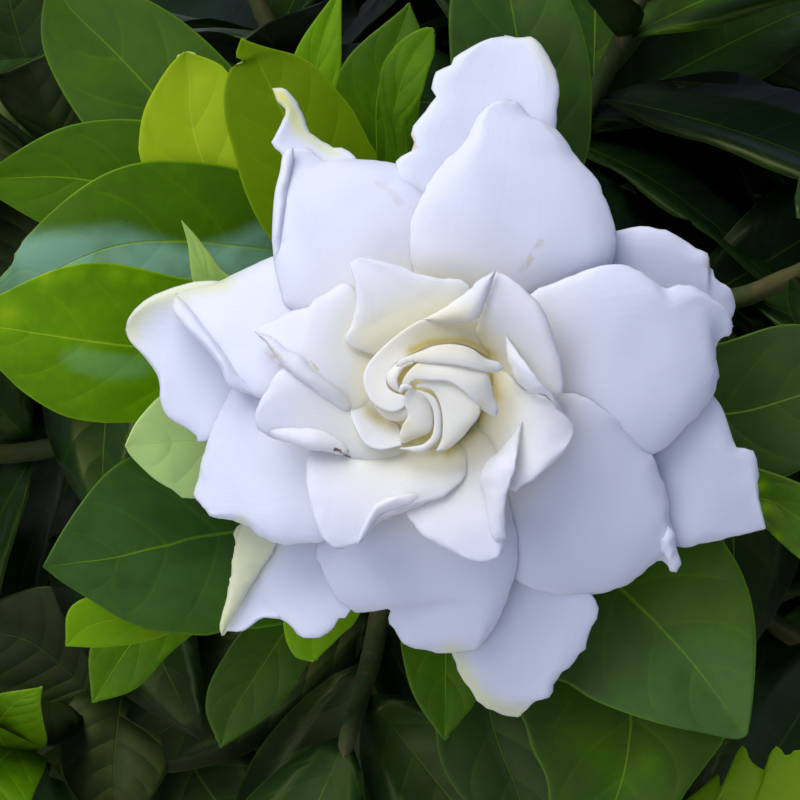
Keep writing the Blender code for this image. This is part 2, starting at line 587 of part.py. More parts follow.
def crown_point(way, share):
    """The point at a share of the crown's radius in a direction."""
    return Vector([c + w * r * share for c, w, r in zip(CROWN_CENTRE, way, CROWN_RADII)])


def bowed(start, end, sag, count):
    """Points from start to end, bowed sideways by sag in the middle."""
    shares = [i / (count - 1) for i in range(count)]
    return [start.lerp(end, s) + sag * math.sin(math.pi * s) for s in shares]


def limb_ends():
    """Ends of the main limbs: a ring of them, and a leader in the middle."""
    ends = []
    for k in range(LIMBS):
        angle = math.tau * (k + 0.3) / LIMBS
        end = (LIMB_REACH * math.cos(angle), LIMB_REACH * math.sin(angle), FORK_HEIGHT + LIMB_RISE)
        ends.append(Vector(end))
    ends.append(Vector((0.002, -0.003, FORK_HEIGHT + 1.4 * LIMB_RISE)))
    return ends


def nearest_limb(target):
    """The limb end that a branch to a target grows from."""
    return min(limb_ends(), key=lambda end: (end - target).length)


def flowering_path():
    """Points of the flowering shoot's stem, from the wood to the foot of the bloom's tube."""
    x, y = TUBE_AXIS
    return [from_bloom(x + 1.0, y - 8.0, CALYX_FOOT - 29.0), from_bloom(x, y - 3.0, CALYX_FOOT - 8.0),
            from_bloom(x, y, CALYX_FOOT), from_bloom(x, y, CALYX_FOOT + 3.0), from_bloom(x, y, TUBE_FOOT)]


def flowering_stem_at(height):
    """The point of the flowering shoot's axis at a height of the bloom's frame."""
    across, up, heights = zip(*[to_bloom(point) for point in flowering_path()])
    return from_bloom(np.interp(height, heights, across), np.interp(height, heights, up), height)


def shoot_path(foot, tip):
    """Points of a leafy shoot's stem, a little bowed."""
    return bowed(foot, tip, SHOOT_SAG, 3)


def on_stem(foot, tip, share):
    """The point at a share of a leafy shoot's stem."""
    start, middle, end = shoot_path(foot, tip)
    if share < 0.5:
        return start.lerp(middle, 2.0 * share)
    return middle.lerp(end, 2.0 * share - 1.0)


def make_wood(stems, group, material):
    """Trunk, limbs and branches as one piece. Each branch ends where a stem starts."""
    fork = Vector((0.001, 0.002, FORK_HEIGHT))
    foot = Vector((0.0, 0.0, SOIL_TOP - TRUNK_DEPTH + FIT_GAP))
    surface = Vector((0.0, 0.0, SOIL_TOP + SOIL_RISE + FIT_GAP))
    bend = Vector((-0.002, 0.001, 0.35 * surface.z + 0.65 * FORK_HEIGHT))
    parts = new_group("wood parts")
    trunk = add_tube("trunk", (foot, surface, bend, fork, fork + Vector((0.0, 0.0, 0.004))),
                     (TRUNK_RADIUS - FIT_GAP / 2, TRUNK_RADIUS - FIT_GAP / 2, TRUNK_RADIUS * 0.92,
                      TRUNK_RADIUS * 0.9, TRUNK_RADIUS * 0.6), group, resolution=2)
    start = fork - Vector((0.0, 0.0, 0.006))
    for k, end in enumerate(limb_ends()):
        outward = Vector((end.x, end.y, 0.0)) * 0.18
        add_tube(f"limb {k}", bowed(start, end, outward, 4),
                 (LIMB_RADIUS, LIMB_RADIUS * 0.95, LIMB_RADIUS * 0.85, LIMB_RADIUS * 0.8), parts)
    for k, stem in enumerate(stems):
        way = (stem[1] - stem[0]).normalized()
        path = (nearest_limb(stem[0]), stem[0] - way * BRANCH_END, stem[0])
        radii = (LIMB_RADIUS * 0.75, BRANCH_RADIUS * 1.15, BRANCH_RADIUS * 1.05)
        add_tube(f"branch {k}", path, radii, parts, resolution=0)
    return fuse("wood", trunk, parts, material)


# Leafy shoots

def leaf_net(base, way, up, length, width, arch, fold, rows=5, columns=3, growth=0.0):
    """The net of one leaf that leaves base along way, with its face towards up, in metres."""
    side = way.cross(up).normalized()
    face = side.cross(way).normalized()
    net = np.zeros((rows, columns, 3))
    for i, share in enumerate(np.linspace(0.0, 1.0, rows)):
        turn = arch * share
        if abs(arch) > 1e-6:
            run = length * math.sin(turn) / arch
            drop = length * (1.0 - math.cos(turn)) / arch
        else:
            run, drop = length * share, 0.0
        normal = face * math.cos(turn) + way * math.sin(turn)
        half = 0.5 * width * (math.sin(math.pi * share ** 0.9)) ** 0.85 + growth
        if i in (0, rows - 1):
            half = 0.0
        if i == rows - 1:
            run += growth
        for j, across in enumerate(np.linspace(-1.0, 1.0, columns)):
            rise = fold * half * abs(across)
            net[i, j] = base + way * run - face * drop + side * half * across + normal * rise
    return net


def net_tree(net, offset=0.0):
    """A search tree of a net's triangles, moved by an offset along their normals."""
    rows, columns = net.shape[:2]
    points = net_points(net)
    faces = grid_faces(rows, columns)
    if offset:
        normals = [Vector((0.0, 0.0, 0.0)) for _ in points]
        for face in faces:
            a, b, c = (points[k] for k in face)
            normal = (b - a).cross(c - a)
            for k in face:
                normals[k] += normal
        points = [p + n.normalized() * offset for p, n in zip(points, normals)]
    return BVHTree.FromPolygons(points, faces)


def object_tree(solid):
    """A search tree of a finished solid."""
    mesh = solid.data
    points = [solid.matrix_world @ v.co for v in mesh.vertices]
    return BVHTree.FromPolygons(points, [tuple(p.vertices) for p in mesh.polygons])


def ball_of(points):
    """Centre and radius of a ball round points."""
    cloud = np.array([tuple(p) for p in points])
    centre = cloud.mean(axis=0)
    return Vector(centre), float(np.linalg.norm(cloud - centre, axis=1).max())


class Space:
    """What is already placed, so that the next leaf can be kept clear of it."""

    def __init__(self):
        self.taken = []

    def add(self, points, tree, owner):
        centre, radius = ball_of(points)
        self.taken.append((centre, radius, tree, owner))

    def is_free(self, net, halo, owner_skipped):
        """Whether a leaf and a little room round it touch nothing placed."""
        centre, radius = ball_of(net_points(halo))
        room = LEAF_CLEARANCE * MM
        sides = [net_tree(halo, room), net_tree(halo, -room), net_tree(net)]
        for other_centre, other_radius, tree, owner in self.taken:
            if owner == owner_skipped:
                continue
            if (other_centre - centre).length > radius + other_radius + 2 * room:
                continue
            for side in sides:
                if side.overlap(tree):
                    return False
        return True


def clear_of_pot(net):
    """Whether every point stays above the pot and its rim."""
    for point in net_points(net):
        ring = math.hypot(point.x, point.y)
        if ring < POT_RIM_RADIUS + 0.006 and point.z < POT_HEIGHT + 0.012:
            return False
        if point.z < 0.060:
            return False
    return True


def clear_of_bloom_view(net):
    """Whether a leaf keeps out of the space in front of the bloom and its near leaves."""
    for point in net_points(net):
        x, y, h = to_bloom(point)
        share = 1.0 - h / SIGHT_DISTANCE
        seen_x = (x - SIGHT_X) / share
        seen_y = (y - SIGHT_Y) / share
        if h > VIEW_FLOOR and abs(seen_x - SIGHT_X) < VIEW_HALF and abs(seen_y - SIGHT_Y) < VIEW_HALF:
            return False
    return True


def shoot_ends():
    """Foot and tip of every shoot that follows the rule."""
    pairs = []
    for way in crown_directions():
        foot = crown_point(way, SHOOT_START)
        tip = crown_point(way, SHOOT_END)
        pairs.append((foot, tip))
    return pairs


def with_gap(path):
    """A stem's path, started a fine gap off the cut end of its branch."""
    way = (path[1] - path[0]).normalized()
    return [path[0] + way * FIT_GAP] + path[1:]


def bud_frame(foot, tip):
    """The way a bud points, and two ways across it."""
    way = (tip - foot).normalized()
    way = (way + Vector((0.0, 0.0, 0.5))).normalized()
    side = way.orthogonal().normalized()
    return way, side, way.cross(side)


def make_bud(name, foot, tip, group, material):
    """A closed bud: a pointed oval of petal edges wound round each other."""
    way, side, other = bud_frame(foot, tip)
    start = tip + way * (BUD_CALYX + FIT_GAP)
    net = bmesh.new()
    rings = []
    for i in range(BUD_RINGS):
        share = i / BUD_RINGS
        swell = 0.42 + 0.58 * math.sin(math.pi * min(1.0, share * 1.05) ** 0.9)
        radius = BUD_RADIUS * swell * (1.0 - share ** 3)
        ring = []
        for j in range(BUD_SIDES):
            turn = math.tau * j / BUD_SIDES + BUD_TWIST * share * share
            reach = radius * (1.0 + 0.09 * (-1) ** j * min(1.0, 3 * share))
            outward = side * math.cos(turn) + other * math.sin(turn)
            ring.append(net.verts.new(start + way * BUD_LENGTH * share + outward * reach))
        rings.append(ring)
    top = net.verts.new(start + way * BUD_LENGTH)
    net.faces.new(list(reversed(rings[0])))
    for low, high in zip(rings, rings[1:]):
        for j in range(BUD_SIDES):
            k = (j + 1) % BUD_SIDES
            net.faces.new((low[j], low[k], high[k]))
            net.faces.new((low[j], high[k], high[j]))
    for j in range(BUD_SIDES):
        net.faces.new((rings[-1][j], rings[-1][(j + 1) % BUD_SIDES], top))
    bmesh.ops.recalc_face_normals(net, faces=net.faces)
    mesh = bpy.data.meshes.new(name)
    net.to_mesh(mesh)
    net.free()
    mesh.materials.append(material)
    mesh.shade_smooth()
    bud = bpy.data.objects.new(name, mesh)
    group.objects.link(bud)
    return bud


def make_stems(space, group):
    """The stems of the crown's shoots, some of them ending in the calyx of a bud."""
    shoots = []
    for k, (foot, tip) in enumerate(shoot_ends()):
        name = f"leafy_shoot_{k + 1:02d}"
        path = with_gap(shoot_path(foot, tip))
        radii = [STEM_RADIUS * 1.1, STEM_RADIUS, STEM_RADIUS * 0.8]
        if k in BUD_SHOOTS:
            bud_way = bud_frame(foot, tip)[0]
            path += [tip + bud_way * BUD_CALYX]
            radii += [BUD_RADIUS * 0.42]
        stem = add_tube(name, path, radii, group, resolution=0)
        space.add([v.co for v in stem.data.vertices], object_tree(stem), name)
        shoots.append((name, stem, foot, tip))
    return shoots


def draw_leaf(draw, attempt, axis, across, turn, share, base):
    """One leaf drawn by the rule, as what leaf_net takes."""
    turn += draw.uniform(-0.25, 0.25) * (1 + attempt)
    spread = math.radians(74.0 - 34.0 * share + draw.uniform(-8.0, 8.0) * (1 + 0.5 * attempt))
    length = draw.uniform(*LEAF_LENGTH) * (1.0 - 0.12 * (share > 0.9)) * 0.94 ** attempt * MM
    arch = math.radians(draw.uniform(15.0, 50.0))
    side = across * math.cos(turn) + axis.cross(across) * math.sin(turn)
    way = (axis * math.cos(spread) + side * math.sin(spread)).normalized()
    up = (axis * 0.9 + Vector((0.0, 0.0, 0.8))).normalized()
    if abs(way.dot(up)) > 0.92:
        up = axis
    return dict(base=base + side * STEM_RADIUS * 0.5, way=way, up=up, length=length,
                width=length * LEAF_WIDTH, arch=arch, fold=LEAF_FOLD)


def make_leafy_shoots(space, group, material):
    """Every shoot of the crown: a stem with pairs of leaves, each pair a quarter turn on."""
    draw = random.Random(SEED)
    count = 0
    for name, stem, foot, tip in make_stems(space, group):
        pieces = new_group(name + " leaves")
        axis = (tip - foot).normalized()
        across = axis.orthogonal().normalized()
        first_turn = draw.uniform(0.0, math.tau)
        for pair in range(LEAF_PAIRS):
            share = FIRST_PAIR + (LAST_PAIR - FIRST_PAIR) * pair / (LEAF_PAIRS - 1)
            base = on_stem(foot, tip, share)
            for half in range(2):
                turn = first_turn + pair * math.pi / 2 + half * math.pi
                for attempt in range(LEAF_TRIES):
                    leaf = draw_leaf(draw, attempt, axis, across, turn, share, base)
                    net = leaf_net(**leaf)
                    halo = leaf_net(**leaf, growth=LEAF_CLEARANCE * MM)
                    if not (clear_of_pot(net) and clear_of_bloom_view(net)):
                        continue
                    if not space.is_free(net, halo, name):
                        continue
                    add_blade(f"{name} leaf {pair}{half}", net, LEAF_THICKNESS, pieces)
                    space.add(net_points(net), net_tree(net), "leaf")
                    count += 1
                    break
        fuse(name, stem, pieces, material)
    print("leaves of the crown:", count)


def make_flowering_shoot(space, group, material):
    """The shoot that carries the bloom: its stem, calyx, calyx lobes and near leaves."""
    name = "flowering_shoot"
    x, y = TUBE_AXIS
    path = with_gap(flowering_path())
    calyx = CALYX_RADIUS * MM
    radii = (STEM_RADIUS * 1.2, STEM_RADIUS * 1.2, STEM_RADIUS * 1.3, calyx * 0.8, calyx)
    stem = add_tube(name, path, radii, group, resolution=2)
    pieces = new_group("near leaves")
    for leaves, rows in ((NEAR_LEAVES, 6), (FAR_LEAVES, 4)):
        for piece in leaves:
            net = outlined_world(piece, rows, 3)
            net[0, :] = flowering_stem_at(piece["heights"][0])
            add_blade("leaf " + piece["name"], net, LEAF_THICKNESS, pieces)
            space.add(net_points(net), net_tree(net), name)
    for k in range(LOBES):
        turn = math.tau * k / LOBES
        side = Vector((math.cos(turn), 0.0, 0.0)) + LEAN_Y * math.sin(turn)
        base = from_bloom(x, y, TUBE_FOOT - LOBE_SINK) + side * (CALYX_RADIUS - LEAF_THICKNESS) * MM
        lobe_way = (LEAN_H * math.cos(LOBE_SPREAD) + side * math.sin(LOBE_SPREAD)).normalized()
        net = leaf_net(base, lobe_way, LEAN_H * 0.4 - side, LOBE_LENGTH, LOBE_WIDTH, LOBE_SPREAD, LOBE_FOLD)
        add_blade(f"calyx lobe {k}", net, LEAF_THICKNESS, pieces)
    return fuse(name, stem, pieces, material)


# Bloom

def make_bloom(space, group, material):
    """The petals in their whorls, on the tube, with the closed heart in the middle."""
    x, y = TUBE_AXIS
    path = [from_bloom(x, y, TUBE_FOOT + FIT_GAP / MM)]
    path += [from_bloom(x + lean, y, h) for h, lean in zip(TUBE_LEVELS, TUBE_LEANS)]
    radii = [TUBE_RADIUS * MM] + [radius * MM for radius in TUBE_RADII]
    tube = add_tube("bloom", path, radii, group, resolution=3)
    pieces = new_group("petals")
    for piece in PETALS:
        whorl = piece["name"].split()[0]
        net = outlined_world(piece, *PETAL_NETS[whorl])
        add_blade("petal " + piece["name"], net, PETAL_THICKNESS, pieces)
        space.add(net_points(net), net_tree(net), "bloom")
    return fuse("bloom", tube, pieces, material)


def main():
    for thing in list(bpy.data.objects):
        bpy.data.objects.remove(thing)
    group = new_group("potted gardenia")
    clay = make_material("fired clay", (0.50, 0.20, 0.11), 0.85)
    earth = make_material("potting soil", (0.035, 0.022, 0.014), 0.95)
    bark = make_material("bark", (0.14, 0.09, 0.055), 0.85)
    green = make_material("leaf green", (0.035, 0.13, 0.018), 0.35)
    white = make_material("petal white", (0.86, 0.86, 0.88), 0.55)
    pale = make_material("bud green", (0.55, 0.66, 0.36), 0.45)
    make_pot(group, clay)
    make_soil(group, earth)
    stems = [shoot_path(*ends) for ends in shoot_ends()] + [flowering_path()]
    wood = make_wood(stems, group, bark)
    space = Space()
    space.add([v.co for v in wood.data.vertices], object_tree(wood), "wood")
    make_bloom(space, group, white)
    make_flowering_shoot(space, group, green)
    ends = shoot_ends()
    for number, rank in enumerate(BUD_SHOOTS):
        bud = make_bud(f"bud_{number + 1}", *ends[rank], group, pale)
        space.add([v.co for v in bud.data.vertices], object_tree(bud), "bud")
    make_leafy_shoots(space, group, green)


main()
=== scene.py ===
# %% [markdown]
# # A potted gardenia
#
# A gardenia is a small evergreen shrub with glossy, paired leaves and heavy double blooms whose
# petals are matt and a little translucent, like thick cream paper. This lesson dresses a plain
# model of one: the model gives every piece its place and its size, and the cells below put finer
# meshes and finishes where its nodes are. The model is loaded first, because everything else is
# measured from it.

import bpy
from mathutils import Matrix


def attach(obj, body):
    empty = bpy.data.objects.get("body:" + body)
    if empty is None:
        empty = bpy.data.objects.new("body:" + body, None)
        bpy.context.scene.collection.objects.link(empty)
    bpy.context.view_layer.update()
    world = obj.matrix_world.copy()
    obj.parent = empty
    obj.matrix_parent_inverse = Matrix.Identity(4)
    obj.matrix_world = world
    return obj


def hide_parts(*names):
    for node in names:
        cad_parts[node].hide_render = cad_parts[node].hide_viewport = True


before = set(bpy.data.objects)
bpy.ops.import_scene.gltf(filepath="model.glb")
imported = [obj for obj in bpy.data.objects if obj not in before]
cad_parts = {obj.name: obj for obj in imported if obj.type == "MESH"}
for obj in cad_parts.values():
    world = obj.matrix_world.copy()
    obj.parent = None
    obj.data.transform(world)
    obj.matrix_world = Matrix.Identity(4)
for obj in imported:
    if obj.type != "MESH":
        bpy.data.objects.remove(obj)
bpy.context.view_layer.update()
print("nodes:", len(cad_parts))

# %% Modules and units
import math
import random

import bmesh
import bpy
import numpy as np
from mathutils import Vector, noise
from mathutils.bvhtree import BVHTree

MM = 0.001
SCENE = bpy.context.scene


def new_object(name, data):
    """A new object in the scene."""
    made = bpy.data.objects.new(name, data)
    SCENE.collection.objects.link(made)
    return made


def way_round(first, second, turn):
    """The way at a turn from one way towards another that is square to it."""
    return first * math.cos(turn) + second * math.sin(turn)


def store_values(mesh, name, numbers):
    """Gives every point of a mesh a value, or a vector of three."""
    numbers = np.array(numbers, dtype=np.float32)
    kind, key = ("FLOAT_VECTOR", "vector") if numbers.ndim == 2 else ("FLOAT", "value")
    mesh.attributes.new(name, kind, "POINT").data.foreach_set(key, numbers.ravel())


print("unit:", MM, "m")

# %% [markdown]
# ## The bloom's own frame
#
# The bloom looks up and forward out of the crown. Its petals are easiest to describe as they are
# seen from straight in front: x to the right and y up across the bloom's face, and h for how far
# a point stands out of that face, all in millimetres. Two vectors turn that frame into the world.
# A petal's outline is noted as the eye sees it, so a point that stands nearer to the eye is moved
# along its line of sight, and the outline still matches.

# %% The bloom's frame
CROWN_CENTRE = Vector((0.0, 0.0, 0.228))
BLOOM_REACH = 0.137
BLOOM_LEAN = math.radians(35.0)
EYE_DISTANCE = 580.0
EYE_X = -5.3
EYE_Y = -2.0
FACE_X = np.array((1.0, 0.0, 0.0))
FACE_Y = np.array((0.0, math.sin(BLOOM_LEAN), math.cos(BLOOM_LEAN)))
FACE_H = np.array((0.0, -math.cos(BLOOM_LEAN), math.sin(BLOOM_LEAN)))
BLOOM_CENTRE = np.array(CROWN_CENTRE) + FACE_H * BLOOM_REACH


def to_world(points):
    """World places in metres of an array of points of the bloom's frame in millimetres."""
    points = np.asarray(points, dtype=float)
    x, y, h = points[..., 0:1], points[..., 1:2], points[..., 2:3]
    return BLOOM_CENTRE + (x * FACE_X + y * FACE_Y + h * FACE_H) * MM


def along_sight(seen, heights):
    """Points seen at (x, y) on the bloom's face, moved along the line of sight to their heights."""
    share = 1.0 - heights / EYE_DISTANCE
    x = EYE_X + (seen[..., 0] - EYE_X) * share
    y = EYE_Y + (seen[..., 1] - EYE_Y) * share
    return np.stack((x, y, heights), axis=-1)


print("bloom centre:", [round(float(v), 4) for v in BLOOM_CENTRE])

# %% [markdown]
# ## The camera
#
# The photographer stood close in front of the bloom and a little above it, so the camera lies on
# the line out of the bloom's face, and its angle takes in a little more than the bloom. The
# camera comes before the pieces, because each piece is judged through it.

# %% Camera
VIEW_HALF = 52.8
camera = new_object("camera", bpy.data.cameras.new("camera"))
camera.location = to_world((EYE_X, EYE_Y, EYE_DISTANCE))
camera.rotation_euler = Vector(-FACE_H).to_track_quat("-Z", "Y").to_euler()
camera.data.angle = 2.0 * math.atan(VIEW_HALF / EYE_DISTANCE)
camera.data.clip_start = 0.02
SCENE.camera = camera
print("camera at", [round(v, 3) for v in camera.location])

# %% [markdown]
# ## Sums for node trees
#
# Shader and geometry nodes are both made of sockets. Written out by hand, a sum of three values is
# a dozen lines of node code. The small class below wraps a socket, so that `1 - mask * 0.5` can be
# written as Python and adds the Math nodes by itself. Sums on vectors become Vector Math nodes.

# %% A wire of a node tree
class Wire:
    """An output of a node tree, on which Python's operators add the nodes of a sum."""

    def __init__(self, tree, socket=None):
        self.tree = tree
        self.socket = socket

    def node(self, kind, settings=None, sockets=None, out=0):
        """Adds any node: its settings first, then the values or wires of its sockets."""
        made = self.tree.nodes.new(kind)
        for name, value in (settings or {}).items():
            if name == "stops":
                ramp = made.color_ramp.elements
                while len(ramp) < len(value):
                    ramp.new(1.0)
                for stop, (place, colour) in zip(ramp, value):
                    stop.position = place
                    stop.color = colour
            else:
                setattr(made, name, value)
        for name, value in (sockets or {}).items():
            if isinstance(value, Wire):
                self.tree.links.new(value.socket, made.inputs[name])
            else:
                made.inputs[name].default_value = value
        return Wire(self.tree, made.outputs[out])

    def is_vector(self):
        return self.socket.type == "VECTOR"

    def math(self, operation, *values):
        """A Math node on these values."""
        return self.node("ShaderNodeMath", {"operation": operation}, dict(enumerate(values)))

    def vector(self, operation, *values):
        """A Vector Math node on these values."""
        out = 1 if operation in ("DOT_PRODUCT", "LENGTH") else 0
        return self.node("ShaderNodeVectorMath", {"operation": operation}, dict(enumerate(values)), out)

    def __add__(self, other):
        kind = self.vector if self.is_vector() else self.math
        return kind("ADD", self, other)

    __radd__ = __add__

    def __sub__(self, other):
        kind = self.vector if self.is_vector() else self.math
        return kind("SUBTRACT", self, other)

    def __rsub__(self, other):
        return self.math("SUBTRACT", other, self)

    def __mul__(self, other):
        if self.is_vector():
            return self.node("ShaderNodeVectorMath", {"operation": "SCALE"}, {0: self, 3: other})
        return self.math("MULTIPLY", self, other)

    __rmul__ = __mul__

    def __truediv__(self, other):
        return self.math("DIVIDE", self, other)

    def __pow__(self, other):
        return self.math("POWER", self, other)

    def __abs__(self):
        return self.math("ABSOLUTE", self)

    def step(self, low, high):
        """A smooth step of this value from 0 at low to 1 at high."""
        return self.node("ShaderNodeMapRange", {"interpolation_type": "SMOOTHSTEP"},
                         {"Value": self, "From Min": low, "From Max": high})

    def noise(self, scale, detail, **more):
        """A noise texture at this place, from 0 to 1."""
        return self.node("ShaderNodeTexNoise", None,
                         {"Vector": self, "Scale": scale, "Detail": detail, **more})

    def mix(self, first, second):
        """The first colour where this value is 0, and the second where it is 1."""
        return self.node("ShaderNodeMix", {"data_type": "RGBA"}, {0: self, 6: first, 7: second}, 2)


def colour(red, green, blue):
    """A colour as a socket takes it."""
    return (red, green, blue, 1.0)


def new_finish(name, **constants):
    """A material, a wire to start its sums from, and its shader with these constants set."""
    material = bpy.data.materials.new(name)
    material.use_nodes = True
    shader = material.node_tree.nodes["Principled BSDF"]
    for socket, value in constants.items():
        shader.inputs[socket.replace("_", " ")].default_value = value
    return material, Wire(material.node_tree), shader


def plug(shader, **wires):
    """Leads wires into the shader's sockets."""
    for socket, wire in wires.items():
        wire.tree.links.new(wire.socket, shader.inputs[socket.replace("_", " ")])


def value_of(start, name, out=2):
    """A value that the mesh carries at each point."""
    return start.node("ShaderNodeAttribute", {"attribute_name": name}, out=out)


def object_place(start):
    """The place on the object that is being shaded."""
    return start.node("ShaderNodeTexCoord", out=3)


def bumps(start, height, distance, strength):
    """A normal bent by a height, which is worked out in units of distance."""
    return start.node("ShaderNodeBump", None, {"Strength": strength, "Distance": distance, "Height": height})


print("wires ready")

# %% [markdown]
# ## Curves, and a tray for meshes
#
# Every outline in this shrub is a smooth curve through a few noted points, so one helper makes
# such a curve and another picks points at even shares of its length. Sheets, tubes and turned
# shapes are gathered in a tray: points, faces, and values at the points that the finishes read.
# A tray then becomes one plain mesh, which stands for nodes of the plain model.

# %% Curves and trays
def smooth(points, per_span=8):
    """Points on a smooth curve through the given ones."""
    rows = np.array(points, dtype=float)
    if rows.ndim == 1:
        rows = rows[:, None]
    ends = np.vstack((2 * rows[0] - rows[1], rows, 2 * rows[-1] - rows[-2]))
    t = (np.arange(per_span) / per_span)[:, None]
    curve = []
    for i in range(1, len(ends) - 2):
        before, start, end, after = ends[i - 1:i + 3]
        curve.append(0.5 * (2 * start + (end - before) * t
                            + (2 * before - 5 * start + 4 * end - after) * t ** 2
                            + (3 * start - before - 3 * end + after) * t ** 3))
    return np.vstack(curve + [rows[-1:]])


def at_shares(curve, shares):
    """Points at shares of a curve's length."""
    steps = np.linalg.norm(np.diff(curve, axis=0), axis=1)
    lengths = np.concatenate(([0.0], np.cumsum(steps)))
    wanted = np.asarray(shares) * lengths[-1]
    return np.column_stack([np.interp(wanted, lengths, curve[:, k]) for k in range(curve.shape[1])])


def run_of(values, shares):
    """One value, or a smooth run of values, at shares of the way."""
    if np.isscalar(values):
        return np.full(len(shares), float(values))
    curve = smooth(values)[:, 0]
    return np.interp(shares, np.linspace(0.0, 1.0, len(curve)), curve)


def distance_to(points, line):
    """How far each point of an array is from a line of points, across the bloom's face."""
    line = at_shares(np.array(line, dtype=float), np.linspace(0.0, 1.0, 60 + 8 * len(line)))
    gaps = points[..., None, :2] - line[:, :2]
    return np.sqrt((gaps ** 2).sum(axis=-1)).min(axis=-1)


class Tray:
    """Points, faces and point values of the sheets and tubes that make up one piece."""

    def __init__(self):
        self.points = []
        self.faces = []
        self.marks = []
        self.values = {}

    def add(self, points, faces, mark=0, **values):
        """Adds world points in metres, the faces between them, and one array for each value."""
        first = len(self.points)
        self.points += [tuple(p) for p in points]
        self.faces += [tuple(first + k for k in face) for face in faces]
        self.marks += [mark] * len(faces)
        for name in dict.fromkeys((*self.values, *values)):
            known = self.values.setdefault(name, [0.0] * first)
            known += list(values.get(name, [0.0] * len(points)))

    def mesh(self, name, materials):
        """The tray as a smooth mesh."""
        mesh = bpy.data.meshes.new(name)
        mesh.from_pydata(self.points, [], self.faces)
        for material in materials:
            mesh.materials.append(material)
        mesh.polygons.foreach_set("material_index", self.marks)
        for key, numbers in self.values.items():
            store_values(mesh, key, numbers)
        mesh.shade_smooth()
        mesh.update()
        return mesh


def finish_piece(name, mesh, slot, *nodes):
    """A finished piece of the shrub, which stands for nodes of the plain model."""
    piece = new_object(name, mesh)
    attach(piece, "root")
    if nodes:
        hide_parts(*nodes)
    triangles = sum(len(face.vertices) - 2 for face in mesh.polygons)
    print(f"{name}: {triangles} triangles")


# %% [markdown]
# ## A sheet with a rounded margin
#
# A petal or a leaf is a net of rows and columns between its left and its right edge. Real
# petals are about half a millimetre thick and their margins are round and turn away from the
# light, so the front net drops towards its margin along a quarter circle, and a back net closes
# it from behind. Both nets share their margin, so the sheet is closed. The rows and columns lie
# closer together near the margin, where the form turns fastest.

# %% Sheets
TIP_CROWDING = 1.3
BASE_GROWTH = 2.5
RIPPLE_SCALE = 0.16
MARGIN_REACH = 1.6
FRAY_SCALE = 7.0
FRAY_OFFSETS = (Vector((31.4, 7.7, 12.9)), Vector((5.3, 41.2, 23.8)))


def sheet_nets(piece, rows, columns):
    """Seen places, heights, and the shares along and across, of the net of a petal or leaf."""
    along = 1.0 - (1.0 - np.linspace(0.0, 1.0, rows)) ** TIP_CROWDING
    across = np.sin(np.linspace(-1.0, 1.0, columns) * math.pi / 2)
    left = at_shares(smooth(piece["left"]), along)[:, None, :]
    right = at_shares(smooth(piece["right"]), along)[:, None, :]
    seen = left * ((1.0 - across) / 2)[None, :, None] + right * ((1.0 + across) / 2)[None, :, None]
    seen[0] = seen[0].mean(axis=0)
    outline = np.vstack((smooth(piece["left"]), smooth(piece["right"])[::-1]))
    edge = distance_to(seen, outline)
    grown = np.minimum(1.0, BASE_GROWTH * along)
    open_part = (grown * np.sqrt(1.0 - along ** 4))[:, None]
    heights = run_of(piece["heights"], along)[:, None] + np.zeros(columns)
    heights -= run_of(piece.get("lift", 0.0), along)[:, None] * across * open_part
    heights += run_of(piece.get("cup", 0.0), along)[:, None] * across ** 2 * open_part
    heights += run_of(piece.get("bulge", 0.0), along)[:, None] * (1.0 - across ** 2) * open_part
    turned = np.maximum(across[None, :] ** 6, along[:, None] ** 9) * grown[:, None]
    heights -= piece.get("lip", 0.0) * turned
    heights -= piece.get("fold", 0.0) * (1.0 - np.abs(across)) * open_part
    for x, y, reach, rise in piece.get("dents", ()):
        gap = (seen[..., 0] - x) ** 2 + (seen[..., 1] - y) ** 2
        heights += rise * np.exp(-gap / reach ** 2)
    wave, fray = piece.get("wave", 0.0), piece.get("fray", 0.0)
    if wave:
        for i, j in np.ndindex(heights.shape):
            spot = Vector((seen[i, j, 0], seen[i, j, 1], heights[i, j] * 0.3)) * RIPPLE_SCALE
            margin = math.exp(-edge[i, j] / MARGIN_REACH)
            crinkle = np.array([noise.noise(spot * FRAY_SCALE + offset) for offset in FRAY_OFFSETS])
            seen[i, j] += crinkle * (fray * margin * open_part[i, 0])
            ripple = noise.noise(spot) + 0.9 * margin * noise.noise(spot * 4.0)
            heights[i, j] += wave * ripple * open_part[i, 0]
    rim = piece.get("rim", 0.5) * 0.7
    heights -= rim * (1.0 - np.sqrt(1.0 - (1.0 - np.clip(edge / rim, 0.0, 1.0)) ** 2))
    return seen, heights, along, across, edge


def net_normals(net):
    """Normals of a net, towards the front."""
    normals = np.cross(np.gradient(net, axis=1), np.gradient(net, axis=0))
    length = np.linalg.norm(normals, axis=2, keepdims=True)
    normals = normals / np.maximum(length, 1e-9)
    normals[0] = normals[1]
    normals[-1] = normals[-2]
    return normals


def net_faces(rows, columns):
    """Faces of a front and a back net that share their margin, with one point at each end."""
    tip = 1 + (rows - 2) * columns

    def front(i, j):
        if i == 0:
            return 0
        return tip if i == rows - 1 else 1 + (i - 1) * columns + j

    def back(i, j):
        if i in (0, rows - 1) or j in (0, columns - 1):
            return front(i, j)
        return tip + 1 + (i - 1) * (columns - 2) + j - 1

    faces = []
    for side, flipped in ((front, False), (back, True)):
        for i in range(rows - 1):
            for j in range(columns - 1):
                face = [side(i, j), side(i + 1, j), side(i + 1, j + 1), side(i, j + 1)]
                face = list(dict.fromkeys(face))
                faces.append(face[::-1] if flipped else face)
    return faces


